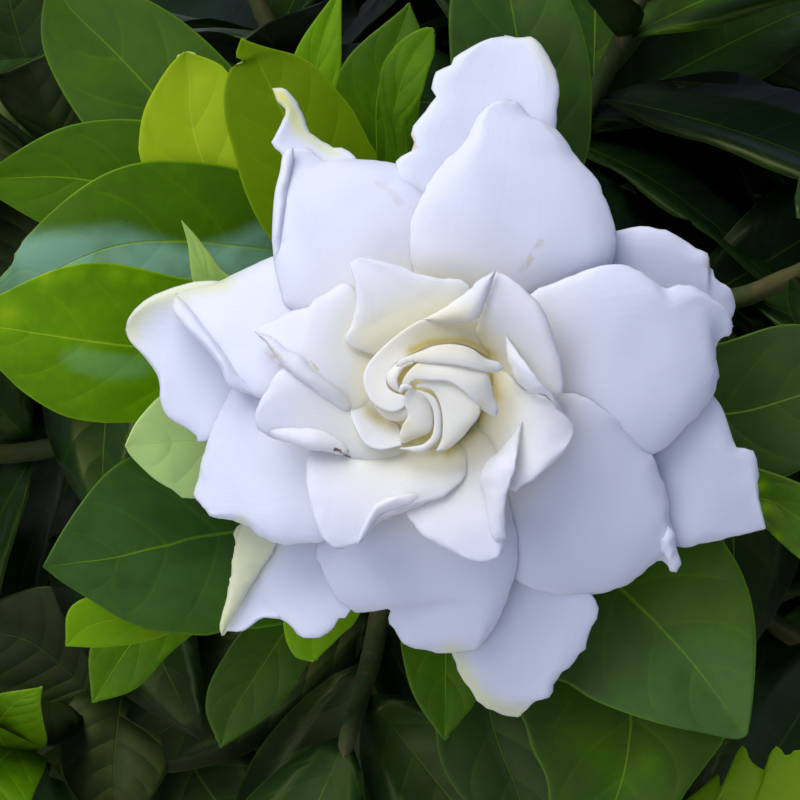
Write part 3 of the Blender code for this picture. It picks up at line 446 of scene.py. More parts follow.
def close_sheet(net, edge, thickness):
    """Points of the closed sheet, and for each its row, its column and whether it is behind."""
    rows, columns = net.shape[:2]
    full = np.clip(edge / thickness, 0.0, 1.0)
    depth = thickness * np.sqrt(1.0 - (1.0 - full) ** 2)
    normals = net_normals(net)
    if (normals[..., 2] * edge).sum() < 0.0:
        normals = -normals
    behind = net - normals * depth[..., None]
    points = [net[0, 0]]
    tags = [(0, columns // 2, 0)]
    for i in range(1, rows - 1):
        points += list(net[i])
        tags += [(i, j, 0) for j in range(columns)]
    points.append(net[-1, 0])
    tags.append((rows - 1, columns // 2, 0))
    for i in range(1, rows - 1):
        points += list(behind[i, 1:-1])
        tags += [(i, j, 1) for j in range(1, columns - 1)]
    return np.array(points), np.array(tags)


def faces_outwards(points, faces):
    """The faces, turned over if the first half of them looks away from the eye."""
    lean = 0.0
    for face in faces[:len(faces) // 2]:
        a, b, c = (points[k] for k in face[:3])
        lean += np.cross(b - a, c - a)[2]
    return faces if lean > 0.0 else [face[::-1] for face in faces]


def add_sheet(tray, piece, rows, columns, thickness, tint):
    """Adds a closed petal or near leaf to a tray, with the values that its finish reads."""
    seen, heights, along, across, edge = sheet_nets(piece, rows, columns)
    net = along_sight(seen, heights)
    points, tags = close_sheet(net, edge, thickness)
    faces = faces_outwards(points, net_faces(rows, columns))
    i, j, behind = tags.T
    values = dict(along=along[i], across=across[j], under=behind.astype(float), edge=edge[i, j],
                  seen_x=seen[i, j, 0], seen_y=seen[i, j, 1])
    values.update(tint(piece, seen[i, j], heights[i, j]))
    tray.add(to_world(points), faces, **values)


print("sheets ready")

# %% [markdown]
# ## Petals
#
# The bloom is double: a back whorl, a wide outer whorl in which each petal's left edge lies over
# its neighbour, a middle whorl that stands up as a bowl, and a closed heart of blades wound round
# each other. Each petal gets its two edges from base to tip as they are seen, the heights along
# its middle, and a few words of form: lift tilts it, cup and bulge bend it across, lip turns its
# margin down, rim is how round the margin is, and dents are soft hollows or swellings. Wave
# ripples the whole sheet and fray crinkles its margin, both by noise at fixed places, so that each
# run gives the same petal. Some margins are folded over so that they show as thick white bands.
# Those are sheets of their own.

# %% Outlines of the petals
BACK_PETALS = (
    dict(name="top", heights=(-1, 0, -3, -7), lift=1.0, cup=0.5, lip=1.0, rim=0.6,
         left=((-2, 3), (-4.5, 20), (-5.7, 29.3), (-5, 30.2), (-3.7, 31), (-3.5, 32.3), (-4, 33.3),
               (-3, 35), (-1.5, 36.8), (-0.7, 38), (-1.2, 39.2), (-1, 40.3), (-0.2, 41.7), (1.2, 42),
               (2, 43.3), (4, 44.6), (6.5, 45.7), (9, 46.1)),
         right=((1, 3), (11, 18), (15, 30), (15.3, 34.2), (15.6, 37.3), (15.7, 39.5), (15.2, 41.5),
                (14.3, 43.2), (13.2, 45), (12, 46), (10.8, 45.7), (9, 46.1))),
    dict(name="curl", heights=(-1, -2, -4, -4), lift=0.5, cup=0.3, lip=0.2, rim=0.8, bulge=(0, 0, 0, 0.8),
         left=((-4, 2), (-13, 18), (-20, 29), (-20.9, 30.6), (-22.3, 31.8), (-20.9, 34.5),
               (-20.4, 36.2), (-21.5, 37.5), (-22.2, 39.2)),
         right=((-2, 3), (-6, 18), (-11, 29.7), (-14.5, 31.5), (-17, 33.3), (-18, 35.5),
                (-19.2, 37.8), (-20.5, 39.1), (-22.2, 39.2))),
    dict(name="upper right", heights=(-1, -2, -5, -8), lift=1.0, cup=0.5, lip=1.0, rim=0.6,
         left=((0, 3), (13, 13), (21, 19.3), (23.2, 20.4), (25, 20.8), (27.5, 20.9), (30, 20.4),
               (32, 19.3), (34.2, 17.7), (35, 18), (35.6, 16.6), (35.2, 16), (36, 15), (36.5, 14),
               (38, 13), (38.6, 12), (39, 10.5)),
         right=((2, 1), (18, 5), (30, 6), (37, 7), (38.6, 9), (39, 10.5))),
    dict(name="lower right", heights=(-1, -2, -5, -9), lift=1.0, cup=0.5, lip=1.0, rim=0.6,
         left=((2, 0), (18, 0), (31, 1), (36, -1.5), (37.3, -3.3), (38.2, -5.5), (38.6, -7.3),
               (39.2, -8.2), (40.5, -8.3), (41.3, -8.6), (41.7, -9.5), (42, -11.5), (42, -14),
               (42.3, -16), (42.8, -18), (43, -19)),
         right=((1, -3), (13, -12), (24, -18.5), (31.5, -21.4), (35, -20.9), (38, -20.2),
                (41.5, -19.4), (43, -19))),
    dict(name="bottom", heights=(-1, -3, -7, -12), lift=1.0, cup=0.5, lip=1.0, rim=0.6,
         left=((1, -3), (11, -15), (20.3, -28), (20, -32), (19.2, -33.3), (19.5, -34.7), (18.3, -35.5),
               (17.5, -37), (16, -38), (15, -39.5), (14.7, -41), (12.5, -41.8), (11.5, -42.8),
               (10.3, -43.9)),
         right=((-1, -3), (-2, -18), (-1, -30), (1.5, -35.3), (2.5, -38), (4, -40.3), (5, -41.8),
                (6.5, -42.8), (8.5, -43.6), (10.3, -43.9))),
    dict(name="lower left", heights=(-1, -3, -7, -11), lift=1.0, cup=1.0, lip=0.4, rim=0.6,
         left=((-2, -3), (-7, -15), (-11.8, -29.6), (-13, -30.5), (-14, -31.7), (-15, -33), (-16, -33.4),
               (-18, -33.3), (-19, -32.8), (-20, -31.5), (-21, -31), (-22.5, -30.8), (-24, -31),
               (-25, -32), (-26.5, -32.6), (-28, -32.5), (-28.8, -33.2)),
         right=((-4, -2), (-15, -9), (-26.4, -18.3), (-27, -21), (-27.5, -24), (-28, -27.5),
                (-28.7, -30), (-29.1, -32), (-28.8, -33.2))),
    dict(name="left", heights=(-2, -3, -4.5, -6), lift=-0.8, cup=1.0, lip=0.8, rim=0.8, fray=0.1,
         left=((-4, -2), (-18, -5), (-30.8, -7.5), (-31.8, -7), (-33.5, -5.8), (-35.3, -4.8),
               (-36.3, -3.8), (-37, -2), (-37, 0), (-37.5, 1.5), (-38.5, 3), (-39.8, 4.5), (-41, 5.8),
               (-41.5, 7)),
         right=((-4, 1), (-16, 9), (-26, 13), (-29, 13.7), (-31, 13.8), (-33.5, 13.4), (-36, 12.6),
                (-38.5, 11.5), (-40.3, 10), (-41.3, 8.5), (-41.5, 7))),
    dict(name="lower left fold", heights=(-4.0, -5.6, -7.4, -9.8), bulge=0.5, rim=0.7, green=0.6,
         left=((-19, -15), (-21.5, -21), (-24, -25), (-26.5, -29), (-28.8, -33.2)),
         right=((-24, -13), (-26.2, -18.3), (-27, -21), (-27.5, -24), (-28, -27.5), (-28.7, -30),
                (-29.1, -32), (-28.8, -33.2))),
)
OUTER_PETALS = (
    dict(name="top", heights=(0, 4, 3, -1), lift=2.2, cup=-0.8, lip=1.5, rim=0.6,
         left=((-3, 2), (-3.8, 9), (-3.5, 14.8), (-4, 17), (-3.8, 22), (-1.2, 27.2), (0, 28.7),
               (1.5, 30.3), (3, 31.8), (4, 33.5), (4.8, 35.2), (6, 36.5), (7.5, 37.5), (9, 37.6)),
         right=((1, 2), (9, 8), (17, 12), (22.5, 15.9), (23.3, 19), (23, 20.8), (22.4, 23.3),
                (21.5, 25.5), (20.5, 27.3), (19.3, 28.7), (18, 30), (17, 31.8), (16, 33),
                (14.5, 34.3), (12.2, 35.3), (11, 36.3), (10.3, 37.3), (9, 37.6))),
    dict(name="top left", heights=(0, 4, 2, -2), lift=2.2, cup=-0.8, lip=1.8, rim=0.8, fray=0.1,
         left=((-4, 1), (-12, 6), (-19.8, 10), (-21, 12.5), (-21.7, 15), (-22, 17), (-21.8, 18.2),
               (-22.2, 19), (-22.1, 20), (-22, 22.5), (-21.8, 25), (-21.2, 27.5), (-20.9, 30),
               (-20.5, 30.8), (-19.3, 31.3)),
         right=((-2, 2), (1, 12), (1.5, 22), (-1.2, 27.2), (-3.5, 28.3), (-5.7, 29.2), (-9, 29.7),
                (-12.5, 29.8), (-14.8, 29.5), (-16.3, 30.4), (-17.5, 31.3), (-19.3, 31.3))),
    dict(name="left", heights=(0, 4, 2, -2), lift=2.2, cup=-0.6, lip=1.5, rim=0.9, fray=0.1,
         left=((-4, -2), (-14, -3), (-23.7, -1.8), (-26, -0.3), (-27.8, -0.1), (-28.3, 1), (-29, 2.5),
               (-30.3, 4), (-32, 5.8), (-34, 8), (-35.2, 10), (-35.3, 11.2), (-34.8, 12)),
         right=((-4, 1), (-11, 11), (-18.5, 17.5), (-22, 17), (-25, 15.7), (-27.5, 14.5), (-29, 13.8),
                (-32, 12.9), (-34.8, 12))),
    dict(name="lower left", heights=(0, 4, 1, -3), lift=2.2, cup=-0.6, lip=1.5, rim=0.6,
         left=((-2, -3), (-8, -13), (-13, -18.8), (-15.2, -20.4), (-16, -20.8), (-18, -20.9),
               (-20, -21.3), (-21.5, -21), (-23.5, -20.2), (-25, -19), (-26.5, -18.2), (-28, -17.8),
               (-30, -17.5), (-31, -16.5), (-32.3, -15)),
         right=((-4, -1), (-16, 1.5), (-24, 1.5), (-27.5, -0.3), (-28, -1.5), (-29.5, -4.5),
                (-30.7, -7.5), (-31.5, -10), (-31.8, -11.8), (-32.5, -14.2), (-32.3, -15))),
    dict(name="bottom", heights=(0, 3.5, -0.5, -6), lift=2.2, cup=-0.8, lip=1.5, rim=0.6,
         dents=((-7.5, -27, 3.5, 1.0), (0, -29, 5, -0.8)),
         left=((1, -3), (7, -10), (9, -15), (10, -19), (10.3, -22), (10, -25), (9, -28), (7.7, -31),
               (6.5, -33), (4.8, -34.8), (2.5, -35.3)),
         right=((-3, -3), (-10, -10), (-16.2, -21), (-15.8, -23.5), (-15, -26), (-13.8, -28),
                (-12, -29.6), (-10, -30.1), (-8.5, -29.7), (-7.3, -29.3), (-6.7, -29.8),
                (-6.8, -31.2), (-5.8, -32.7), (-5, -34), (-3.8, -34.7), (-2, -35), (0, -35.4),
                (2.5, -35.3))),
    dict(name="lower right", heights=(0, 4.5, -0.8, -6.5), lift=2.6, cup=-0.8, lip=1.5, rim=0.6,
         left=((2, 0), (11, -0.8), (15.5, -1.2), (17.5, -1), (19.5, -1.8), (22, -3.5), (24.5, -5.5),
               (26.5, -7.7), (28, -9.3), (28.7, -11), (29.3, -12.5), (30.2, -15), (30.3, -17.5),
               (31, -20), (31.2, -22), (31.6, -23.5), (31.3, -24.5)),
         right=((0, -3), (4, -13), (8, -22), (10, -25.8), (12, -26.8), (14.5, -27.6), (18, -27.9),
                (21.5, -27.5), (24, -26.7), (26, -25.5), (27.7, -24), (29, -23.2), (30, -23.8),
                (30.4, -24.7), (31.3, -24.5))),
    dict(name="right", heights=(0, 4, 3, -1), lift=2.2, cup=-0.6, lip=1.5, rim=0.6,
         left=((1, 2), (7, 8), (12.3, 12.3), (15, 13.5), (18.5, 15), (21, 15.7), (24, 15.9),
               (26.5, 15), (28.5, 13.5), (30, 12.6), (31.3, 13.3), (33.5, 13), (36, 11.5), (38, 9.8),
               (38.6, 8)),
         right=((2, -2), (12, -8), (22, -10.5), (28, -9.3), (30, -8), (32, -6), (34.5, -3.5),
                (36, -1.5), (36.5, -0.5), (36.8, 1.5), (36.4, 3.5), (36.5, 5.2), (37.3, 6.3),
                (38.4, 6.6), (38.6, 8))),
    dict(name="top left edge", heights=(1.4, 2.2, 1.2, -1.2), bulge=0.7, rim=0.5, fray=0,
         left=((-20.5, 13.5), (-21.8, 16), (-22.1, 18), (-22.2, 20), (-21.9, 25), (-21.2, 28),
               (-20.6, 30.7), (-19.4, 31.4)),
         right=((-20.5, 13.5), (-20.9, 16), (-20.8, 20), (-20.2, 25), (-19.7, 28), (-19.3, 30.3),
                (-19.4, 31.4))),
    dict(name="left edge", heights=(3.2, 3.6, 2, -0.5), bulge=0.8, rim=0.8, fray=0,
         left=((-24, -1.6), (-27.8, -0.3), (-29.1, 2.4), (-31, 4.8), (-33.2, 7), (-35.3, 9.8),
               (-35, 12)),
         right=((-24, -1.6), (-26.5, 1.2), (-28.2, 3.6), (-30.2, 6.3), (-32.2, 9), (-33.8, 11),
                (-35, 12))),
    dict(name="lower right tip", heights=(-3.2, -3.9, -5.0, -6.3), bulge=0.9, rim=0.5,
         left=((29.9, -18), (30.9, -19.6), (31.1, -21), (31.4, -22.4), (31.8, -23.6), (31.2, -24.8)),
         right=((29.9, -18), (29.6, -19.6), (28.9, -21), (29.6, -22.6), (30.3, -24.2), (31.2, -24.8))),
)
MIDDLE_PETALS = (
    dict(name="top", heights=(8.0, 10.4, 11.2, 10.9), lift=0.2, cup=0.5, lip=0.7, rim=0.4,
         left=((-4, 2), (-9, 4), (-12.6, 5.6), (-11.7, 8), (-11.2, 10.5), (-11.2, 13), (-11.8, 15.5),
               (-11.9, 16.2)),
         right=((-1, 2), (3, 8), (4, 12.5), (3, 13.8), (0.7, 14), (-2.4, 14.6), (-5.3, 15.7),
                (-8.4, 16.5), (-10.7, 16.8), (-11.9, 16.2))),
    dict(name="top left", heights=(6.5, 9.4, 10, 7.7), lift=0.9, cup=0.1, lip=0.7, rim=0.5,
         left=((-4, -2), (-9, -3.5), (-11.9, -3.5), (-13.2, -2.9), (-15.4, -1.45), (-18, 0.45),
               (-19.9, 1.9), (-21.4, 3.5), (-22.7, 5.3), (-24.5, 7)),
         right=((-3, 2), (-8, 9), (-12.2, 13.3), (-14.5, 12.4), (-16.7, 11.3), (-17.3, 10.3),
                (-19.9, 9.7), (-21.8, 8.6), (-23.6, 7.9), (-24.5, 7))),
    dict(name="top left roll", heights=(9.6, 10.1, 9.9, 8.1), lift=(0, 0.7, 0.7, 0), bulge=1.0, rim=0.7,
         left=((-11.3, -3), (-12.2, -3.6), (-13.4, -3.1), (-15.4, -1.6), (-18, 0.35), (-19.9, 1.8),
               (-21.5, 3.4), (-22.8, 5.2), (-24.5, 7)),
         right=((-11.3, -3), (-11.6, -1.6), (-12.3, -0.1), (-14.5, 1.4), (-16.4, 2.9), (-17.6, 4.3),
                (-19.9, 4.9), (-22.3, 6.4), (-24.5, 7))),
    dict(name="lower left", heights=(6.5, 9.0, 10.1, 8.5), lift=(0, -0.2, -0.5, 0), cup=-0.3, lip=0.7,
         rim=0.4,
         left=((-2, -3), (-3.3, -9.2), (-4, -10), (-5, -10.7), (-7.5, -10.6), (-10, -10.2),
               (-12.6, -9.2), (-14.5, -8.6), (-17, -8.4), (-19.5, -7.6), (-22.1, -7), (-24, -5.9)),
         right=((-4, -1), (-13, 2), (-19, 2.6), (-21.4, 1.7), (-23, -0.8), (-23.8, -2.1), (-24.4, -4),
                (-24.4, -5.1), (-24, -5.9))),
    dict(name="lower left roll", heights=(9.6, 9.9, 9.2, 7), lift=(0, 0.4, 0.4, 0), bulge=1.0, rim=0.7,
         left=((-12, -8.8), (-13, -9.3), (-14.6, -8.9), (-17, -8.6), (-19.5, -7.8), (-22.1, -7.1),
               (-24, -5.8)),
         right=((-12, -8.8), (-12.9, -7.6), (-14.1, -6.6), (-15.5, -5.8), (-17.3, -5.3),
                (-20.2, -5.2), (-22.7, -5.1), (-24, -5.8))),
    dict(name="bottom", heights=(4, 8.3, 9.9, 9.8), lift=(0, 1.8, 1.1, 0), cup=0.3, lip=0.6, rim=0.5,
         left=((0, -3), (3.6, -8), (3.6, -10), (3.3, -12.2), (2, -13.5), (0, -15), (-2.5, -15.7),
               (-4.5, -16.5), (-6, -17), (-8, -18), (-8.8, -19), (-9.5, -20.2), (-11, -21), (-13, -21.6)),
         right=((-4, -2), (-12, -6), (-16.5, -8), (-17.5, -9), (-17.7, -11.5), (-17.5, -14),
                (-16.8, -17), (-16, -19.5), (-15, -20.8), (-14, -21.5), (-13, -21.6))),
    dict(name="bottom fold", heights=(9.7, 10.5, 10.5, 9.9), lift=(0, -0.4, -0.8, -0.3), bulge=0.5, rim=0.9,
         left=((0.8, -14.3), (-0.8, -15.2), (-2.5, -15.95), (-4.6, -16.8), (-6.6, -17.4), (-8.2, -18.3),
               (-8.9, -19.2), (-9.7, -20.3), (-11, -21.2)),
         right=((0.8, -14.3), (-0.8, -13.7), (-2.3, -13.9), (-6.3, -14.7), (-8.4, -15.7), (-9.8, -17.7),
                (-10.8, -19.8), (-11, -21.2))),
    dict(name="lower right", heights=(4, 8, 10.3, 11), lift=(0, 0.5, 0.2, 0), cup=0.3, lip=0.6, rim=0.5,
         left=((2, -2), (7, -5), (9, -8.5), (8.2, -12), (7.8, -17), (8.6, -20), (8.2, -22),
               (7.5, -22.9), (5.5, -23.5)),
         right=((-2, -3), (-5.5, -10), (-4.5, -16.7), (-3.8, -18), (-2.5, -19.8), (-0.5, -21),
                (1.5, -22), (3.5, -23), (5.5, -23.5))),
    dict(name="lower right band", heights=(10.5, 12.2, 12, 11.2), lift=(0, 1.2, 1, 0), bulge=0.7, rim=0.45,
         left=((10.9, -4.8), (10.6, -6.5), (10.2, -9), (9.9, -11), (9.3, -13), (8.8, -14.5),
               (8.6, -17), (8.8, -20.3)),
         right=((10.9, -4.8), (8, -8.5), (6.2, -10), (5.2, -12), (5.6, -14), (6, -15.8), (6.3, -18),
                (7.2, -20.5), (8.8, -20.3))),
    dict(name="right", heights=(4, 8, 10.8, 10), lift=(0, 0.2, -0.6, 0), cup=0.4, lip=0.6, rim=0.5,
         left=((2, 1), (6, 3), (9, 1.5), (11, -0.6), (14, -1.6), (16.3, -3.8), (17.8, -5.5)),
         right=((1, -2), (6, -9), (9.3, -13.9), (11, -13.3), (13, -12), (15, -10.3), (16.5, -8.8),
                (17.5, -7), (17.8, -5.5))),
    dict(name="right band", heights=(11, 12.2, 12, 9.6), lift=(0, -0.8, -0.8, 0), bulge=0.4, rim=0.45,
         left=((8.6, 6.8), (8.8, 4), (9.4, 1.8), (10.3, 0.2), (11.9, -1.1), (13.9, -1.3),
               (16.3, -3.8)),
         right=((8.6, 6.8), (10.5, 4), (12, 2), (13.5, 0), (15, -1.5), (16.3, -3.8))),
    dict(name="top right", heights=(4, 8.5, 11.5, 12), lift=(0, 0, 0.5, 0), cup=0.5, lip=0.8, rim=0.5,
         left=((1, 2), (4, 6), (5.4, 9.3), (6.4, 12), (7.4, 15)),
         right=((2, 0), (9, -1.5), (15.3, -1.7), (16.2, -1), (16.3, 1), (15.8, 4), (15, 6.5),
                (14.2, 8.8), (13, 10.8), (11, 12.8), (9, 14.3), (7.4, 15))),
    dict(name="top right ridge", heights=(11.6, 12.6, 13.4, 12.6), bulge=0.8, rim=0.6,
         left=((-2.4, 8.6), (0.5, 10.2), (3.4, 12.3), (5.2, 13.9), (7.3, 15.1)),
         right=((-2.4, 8.6), (0, 8.2), (2.4, 8.2), (4.5, 8.4), (5.8, 10.4), (6.6, 12.6), (7.3, 15.1))),
)
HEART_BLADES = (
    dict(name="wrap", heights=(8.4, 10.7, 11.3, 11.9, 12.5, 13.6), lift=(0.2, 0.9, 0.5, 0.1, 0.1, 0), rim=0.4,
         crevice=1.0, cream=0.8,
         left=((6.5, 8.9), (5, 8.8), (3, 8.5), (-1, 8.7), (-2.5, 8.6), (-4, 7.8), (-5.7, 6.6), (-7.9, 4.7),
               (-9.6, 2.7), (-10.2, 0.8), (-9.8, -1), (-8.6, -2.7), (-6.5, -3.6), (-4.9, -3.1), (-4, -2)),
         right=((7, 3.4), (3, 5.3), (-1, 5), (-4, 3.8), (-5.9, 2.6), (-6.9, 1), (-6.9, -0.2), (-6.2, -0.9),
                (-5.4, -1.2), (-4.7, -1.4), (-4, -2))),
    dict(name="lower wrap", heights=(9.2, 9.6, 10.2, 11), lift=(-0.8, -1.0, -0.8, 0), rim=0.45,
         cream=0.5, crevice=1.0,
         left=((-8.5, -1.5), (-7.6, -4), (-5.6, -5.2), (-5.1, -6.6), (-5, -8)),
         right=((-11.9, -2), (-11.8, -4), (-11, -6), (-10, -7.7), (-8.5, -8.5), (-7, -8.5), (-5, -8))),
    dict(name="third rim", heights=(10.8, 11.5, 12.4, 12.6), lift=(0, -0.3, -0.4, 0), bulge=0.35, rim=0.35,
         left=((-8.8, -2.8), (-7.3, -4.4), (-5.2, -4.85), (-3.2, -4.2), (-1.8, -2.9)),
         right=((-8.8, -2.8), (-7, -3.2), (-5.2, -3.3), (-3.6, -2.6), (-1.8, -2.9))),
    dict(name="left blade", heights=(12.6, 13, 13.2, 13), bulge=0.4, lift=-0.4, rim=0.25,
         left=((-3.4, 3.2), (-5.4, 3), (-6.8, 1.8), (-7, 0.4), (-6.1, -0.7), (-5.2, -1)),
         right=((-3.4, 2.8), (-4.7, 2.2), (-5.5, 1), (-5.5, 0), (-5.2, -1))),
    dict(name="broad blade", heights=(13.9, 13.3, 12.7, 11.5), bulge=0.5, rim=0.3, crevice=0.6,
         left=((-3.8, -0.5), (-2.2, -1.2), (-1.2, -2.7), (-0.9, -4.5), (-1.3, -6.2), (-3, -7),
               (-4.9, -7.8)),
         right=((-4.5, -0.8), (-4.8, -2.3), (-4.3, -4), (-5, -5.4), (-5.4, -6.8), (-4.9, -7.8))),
    dict(name="thin band", heights=(14.8, 14.6, 14, 13, 11.6), bulge=0.25, rim=0.3,
         left=((-2.9, -0.6), (-0.9, -1.5), (0, -3.2), (0.2, -5), (0, -6.9), (-1.3, -8.3), (-3, -8.9),
               (-5.4, -8.4)),
         right=((-3.4, -0.8), (-1.9, -1.7), (-1, -3.2), (-0.8, -5), (-1.1, -6.7), (-2.2, -7.8),
                (-3.6, -8.1), (-5.4, -8.4))),
    dict(name="third blade", heights=(14.4, 14.8, 14.6, 13), lift=(0, 0.2, 0.3, 0), bulge=0.5, rim=0.3,
         left=((-3.2, 0.2), (0, 1), (3, 0), (5.2, -2.6), (5.1, -4.2), (4, -5.6), (2.9, -7),
               (1, -8.5), (-0.65, -8.8)),
         right=((-3.4, -0.3), (-1.2, -0.7), (-0.1, -2.4), (0.3, -4.5), (0.2, -7), (-0.65, -8.8))),
    dict(name="second blade", heights=(14.8, 15.4, 15.3, 13.6), lift=(0, -0.5, -0.6, 0), bulge=0.45, rim=0.3,
         left=((-5.2, -0.3), (-4.8, 0.9), (-3.6, 2.4), (-2, 3.2), (2, 3.2), (5.8, 2), (6.8, 0),
               (7.1, -1.5), (7.7, -3), (7.4, -4.3)),
         right=((-4.4, -0.6), (-3.4, 0.6), (-1, 0.55), (0.8, 0.5), (2, 0), (3.3, -1), (4.3, -2),
                (5.2, -3), (6.3, -3.8), (7.4, -4.3))),
    dict(name="first blade", heights=(14.4, 15.6, 15.7, 14), lift=(0, -0.2, -0.3, 0), bulge=0.45, rim=0.3,
         left=((-6, 2.6), (-5.2, 3.4), (-4, 3.9), (-2.5, 4.5), (-1, 5.1), (1, 5.4), (3, 5.2),
               (4.5, 4.6), (6, 3.5), (7.7, 3), (8.5, 2.2)),
         right=((-5.6, 2.2), (-4, 3), (-2.5, 2.9), (0, 2.8), (2, 2.6), (4, 2.2), (6, 1.7),
                (7.4, 1.6), (8.5, 2.2))),
    dict(name="eye", heights=(14.6, 14.9, 14.6), bulge=0.3, rim=0.25,
         left=((-5.5, -1), (-5.2, 0), (-4.2, 0.2), (-3.4, -0.5)),
         right=((-5.2, -1.2), (-4.6, -0.6), (-4.1, -0.7), (-3.4, -0.5))),
)
print("petals:", len(BACK_PETALS) + len(OUTER_PETALS) + len(MIDDLE_PETALS) + len(HEART_BLADES))

# %% [markdown]
# ## The colour of the petals
#
# A gardenia is white with a cold shade on its outer petals, and grows creamy towards its heart:
# partly its own cream, and partly painted light that passes through several petals and painted
# shade that deepens lower in the bloom. Deep between the blades of the heart the shade is painted
# olive yellow, and one band of the bowl above the heart is painted with a glow of the light that
# comes through. A few margins keep some green of the bud. These tints follow the place on the
# bloom, so they are worked out at the points of each sheet, and the material only mixes colours
# with them. Bruises are short tan lines, broken up by noise.

# %% Tints of a petal
HEART_CENTRE = (-1.0, -1.0)
# Cream: partly the petals' own cream near the heart, partly painted light through the petals and painted
# shade that deepens lower in the bloom.
CREAM_REACH = 20.0
CREAM_TOP = 13.5
CREAM_DEPTH = 7.0
CREAM_SOFTNESS = 10.0
CREAM_RINGS = ((0.20, 28.0, 12.0), (0.42, 12.0, 5.0))
# Painted shade: olive yellow along the creases and shadow lines of the heart, each with its strength and
# width.
CREVICE_SHADE_LINES = (
    (0.36, 2.2, ((-2, 6), (1, 7.2), (5, 6.6))),
    (0.95, 1.0, ((-3.5, 4.4), (-1, 5.4), (3, 5.6), (6.5, 3.9))),
    (0.9, 0.7, ((6.4, 1.8), (7, 0), (7.4, -1.5))),
    (1.0, 0.9, ((5.4, -3), (4.9, -5), (3.2, -6.9), (1, -8.7))),
    (0.9, 0.8, ((-5, 0.9), (-4.6, 2), (-2.6, 2.9))),
    (0.9, 0.7, ((-4.4, -7.5), (-1.4, -6.6))),
    (0.6, 1.0, ((-9.4, -3.4), (-8, -4.4), (-6.2, -4.9), (-4.6, -5.2))),
    (0.5, 0.8, ((-0.8, -8), (0, -7.2), (-0.4, -8.6))),
)
GREEN_MARGINS = (
    (0.6, 2.2, ((-29, 13.9), (-33.5, 13.4), (-38.5, 11.6), (-41.2, 8.6), (-41.5, 6.5))),
    (1.0, 1.2, ((-22.3, 39.2), (-20.6, 37.4))),
    (0.8, 1.1, ((-20.6, 37.4), (-19.4, 35.9), (-18.8, 34.2))),
    (0.6, 1.0, ((-20.8, 37.2), (-18.6, 33.6), (-14, 30.8))),
    (0.4, 0.7, ((-28.8, -33), (-25.5, -27), (-21.5, -21.7))),
    (0.9, 0.9, ((-28.9, -33), (-28.5, -29), (-27.3, -23), (-26.4, -18.5))),
    (0.7, 1.7, ((1.6, -35.8), (4.5, -41.2), (8.5, -43.8), (10.5, -43.6))),
    (0.35, 1.2, ((12, 46), (14.4, 43.2), (15.4, 41))),
)
# Painted light: a band of the bowl painted creamy as if lit through.
GLOW_LIGHT_LINES = (
    (0.45, 2.6, ((-9.5, 6.5), (-5.5, 9.2), (-1, 10.5), (3, 9.8))),
)


def lines_near(seen, lines):
    """How near points are to any of the lines, from 0 to the line's strength."""
    found = np.zeros(len(seen))
    for strength, width, line in lines:
        found = np.maximum(found, strength * np.exp(-(distance_to(seen, line) / width) ** 2))
    return found


def petal_tint(piece, seen, heights):
    """Cream, olive and green at the points of a petal, from 0 to 1; the olive is painted shade and the cream
    is partly painted light.
    """
    far = np.linalg.norm(seen - HEART_CENTRE, axis=1)
    deep = np.clip((CREAM_TOP - heights) / CREAM_DEPTH, 0.0, 1.0)
    cream = 0.85 * deep * np.clip((CREAM_REACH - far) / CREAM_SOFTNESS, 0.0, 1.0)
    for strength, reach, softness in CREAM_RINGS:
        cream = cream + strength * np.clip((reach - far) / softness, 0.0, 1.0)
    cream = (cream + lines_near(seen, GLOW_LIGHT_LINES)) * piece.get("cream", 1.0)
    # Painted shade: crevices and the low floors turn olive, as shade deep in the bloom.
    low = piece.get("low", 0.0)
    crevice = piece.get("crevice", 0.35 + 0.65 * low)
    olive = np.maximum(lines_near(seen, CREVICE_SHADE_LINES) * crevice, low * 0.5)
    green = np.maximum(lines_near(seen, GREEN_MARGINS), piece.get("green", 0.0))
    return dict(cream=np.minimum(cream, 1.0), olive=olive, green=green)


# %% Petal finish
WHITE = colour(0.785, 0.805, 0.95)
CREAM = colour(0.90, 0.84, 0.60)
SHADE_OLIVE = colour(0.60, 0.47, 0.05)
BUD_GREEN = colour(0.76, 0.76, 0.22)
TAN = colour(0.60, 0.42, 0.20)
BROWN = colour(0.10, 0.03, 0.01)
STAINS = (
    (0.5, 0.6, ((13.3, 18.8), (10.8, 15.0))),
    (0.2, 0.8, ((-6.3, 25.3), (-5.2, 23.8))),
    (0.15, 0.7, ((-3.4, 24.2), (-3.8, 23.0))),
    (0.2, 0.7, ((-8.2, 26.6), (-6.9, 26))),
    (0.5, 1.1, ((-22.3, 4.4), (-21, 3))),
    (0.8, 0.7, ((-4, 33.4), (-3.4, 31.4))),
    (0.6, 0.6, ((35.7, 17), (35.2, 15.8))),
    (0.7, 0.3, ((-17.0, 3.0), (-16.1, 1.9))),
)
SPECKS = (
    (1.0, 0.45, ((-13.8, -8.6), (-13.3, -8.8))),
    (0.7, 0.25, ((-13.2, -8.9), (-11.9, -9.5))),
)


def line_mask(x, y, ends, width):
    """1 on a line across the bloom's face, falling to 0 at its width."""
    (x0, y0), (x1, y1) = ends
    length = math.hypot(x1 - x0, y1 - y0)
    way_x, way_y = (x1 - x0) / length, (y1 - y0) / length
    run = (x - x0) * way_x + (y - y0) * way_y
    run = run.math("MAXIMUM", run, 0.0)
    run = run.math("MINIMUM", run, length)
    off_x = x - x0 - run * way_x
    off_y = y - y0 - run * way_y
    gap = (off_x * off_x + off_y * off_y) ** 0.5
    return 1.0 - gap.step(width * 0.3, width)


def marks_mask(x, y, marks):
    """The strongest of some short lines at a point, each with its strength and width."""
    found = None
    for strength, width, ends in marks:
        mask = line_mask(x, y, ends, width)
        if strength < 1.0:
            mask = mask * strength
        found = mask if found is None else found.math("MAXIMUM", found, mask)
    return found


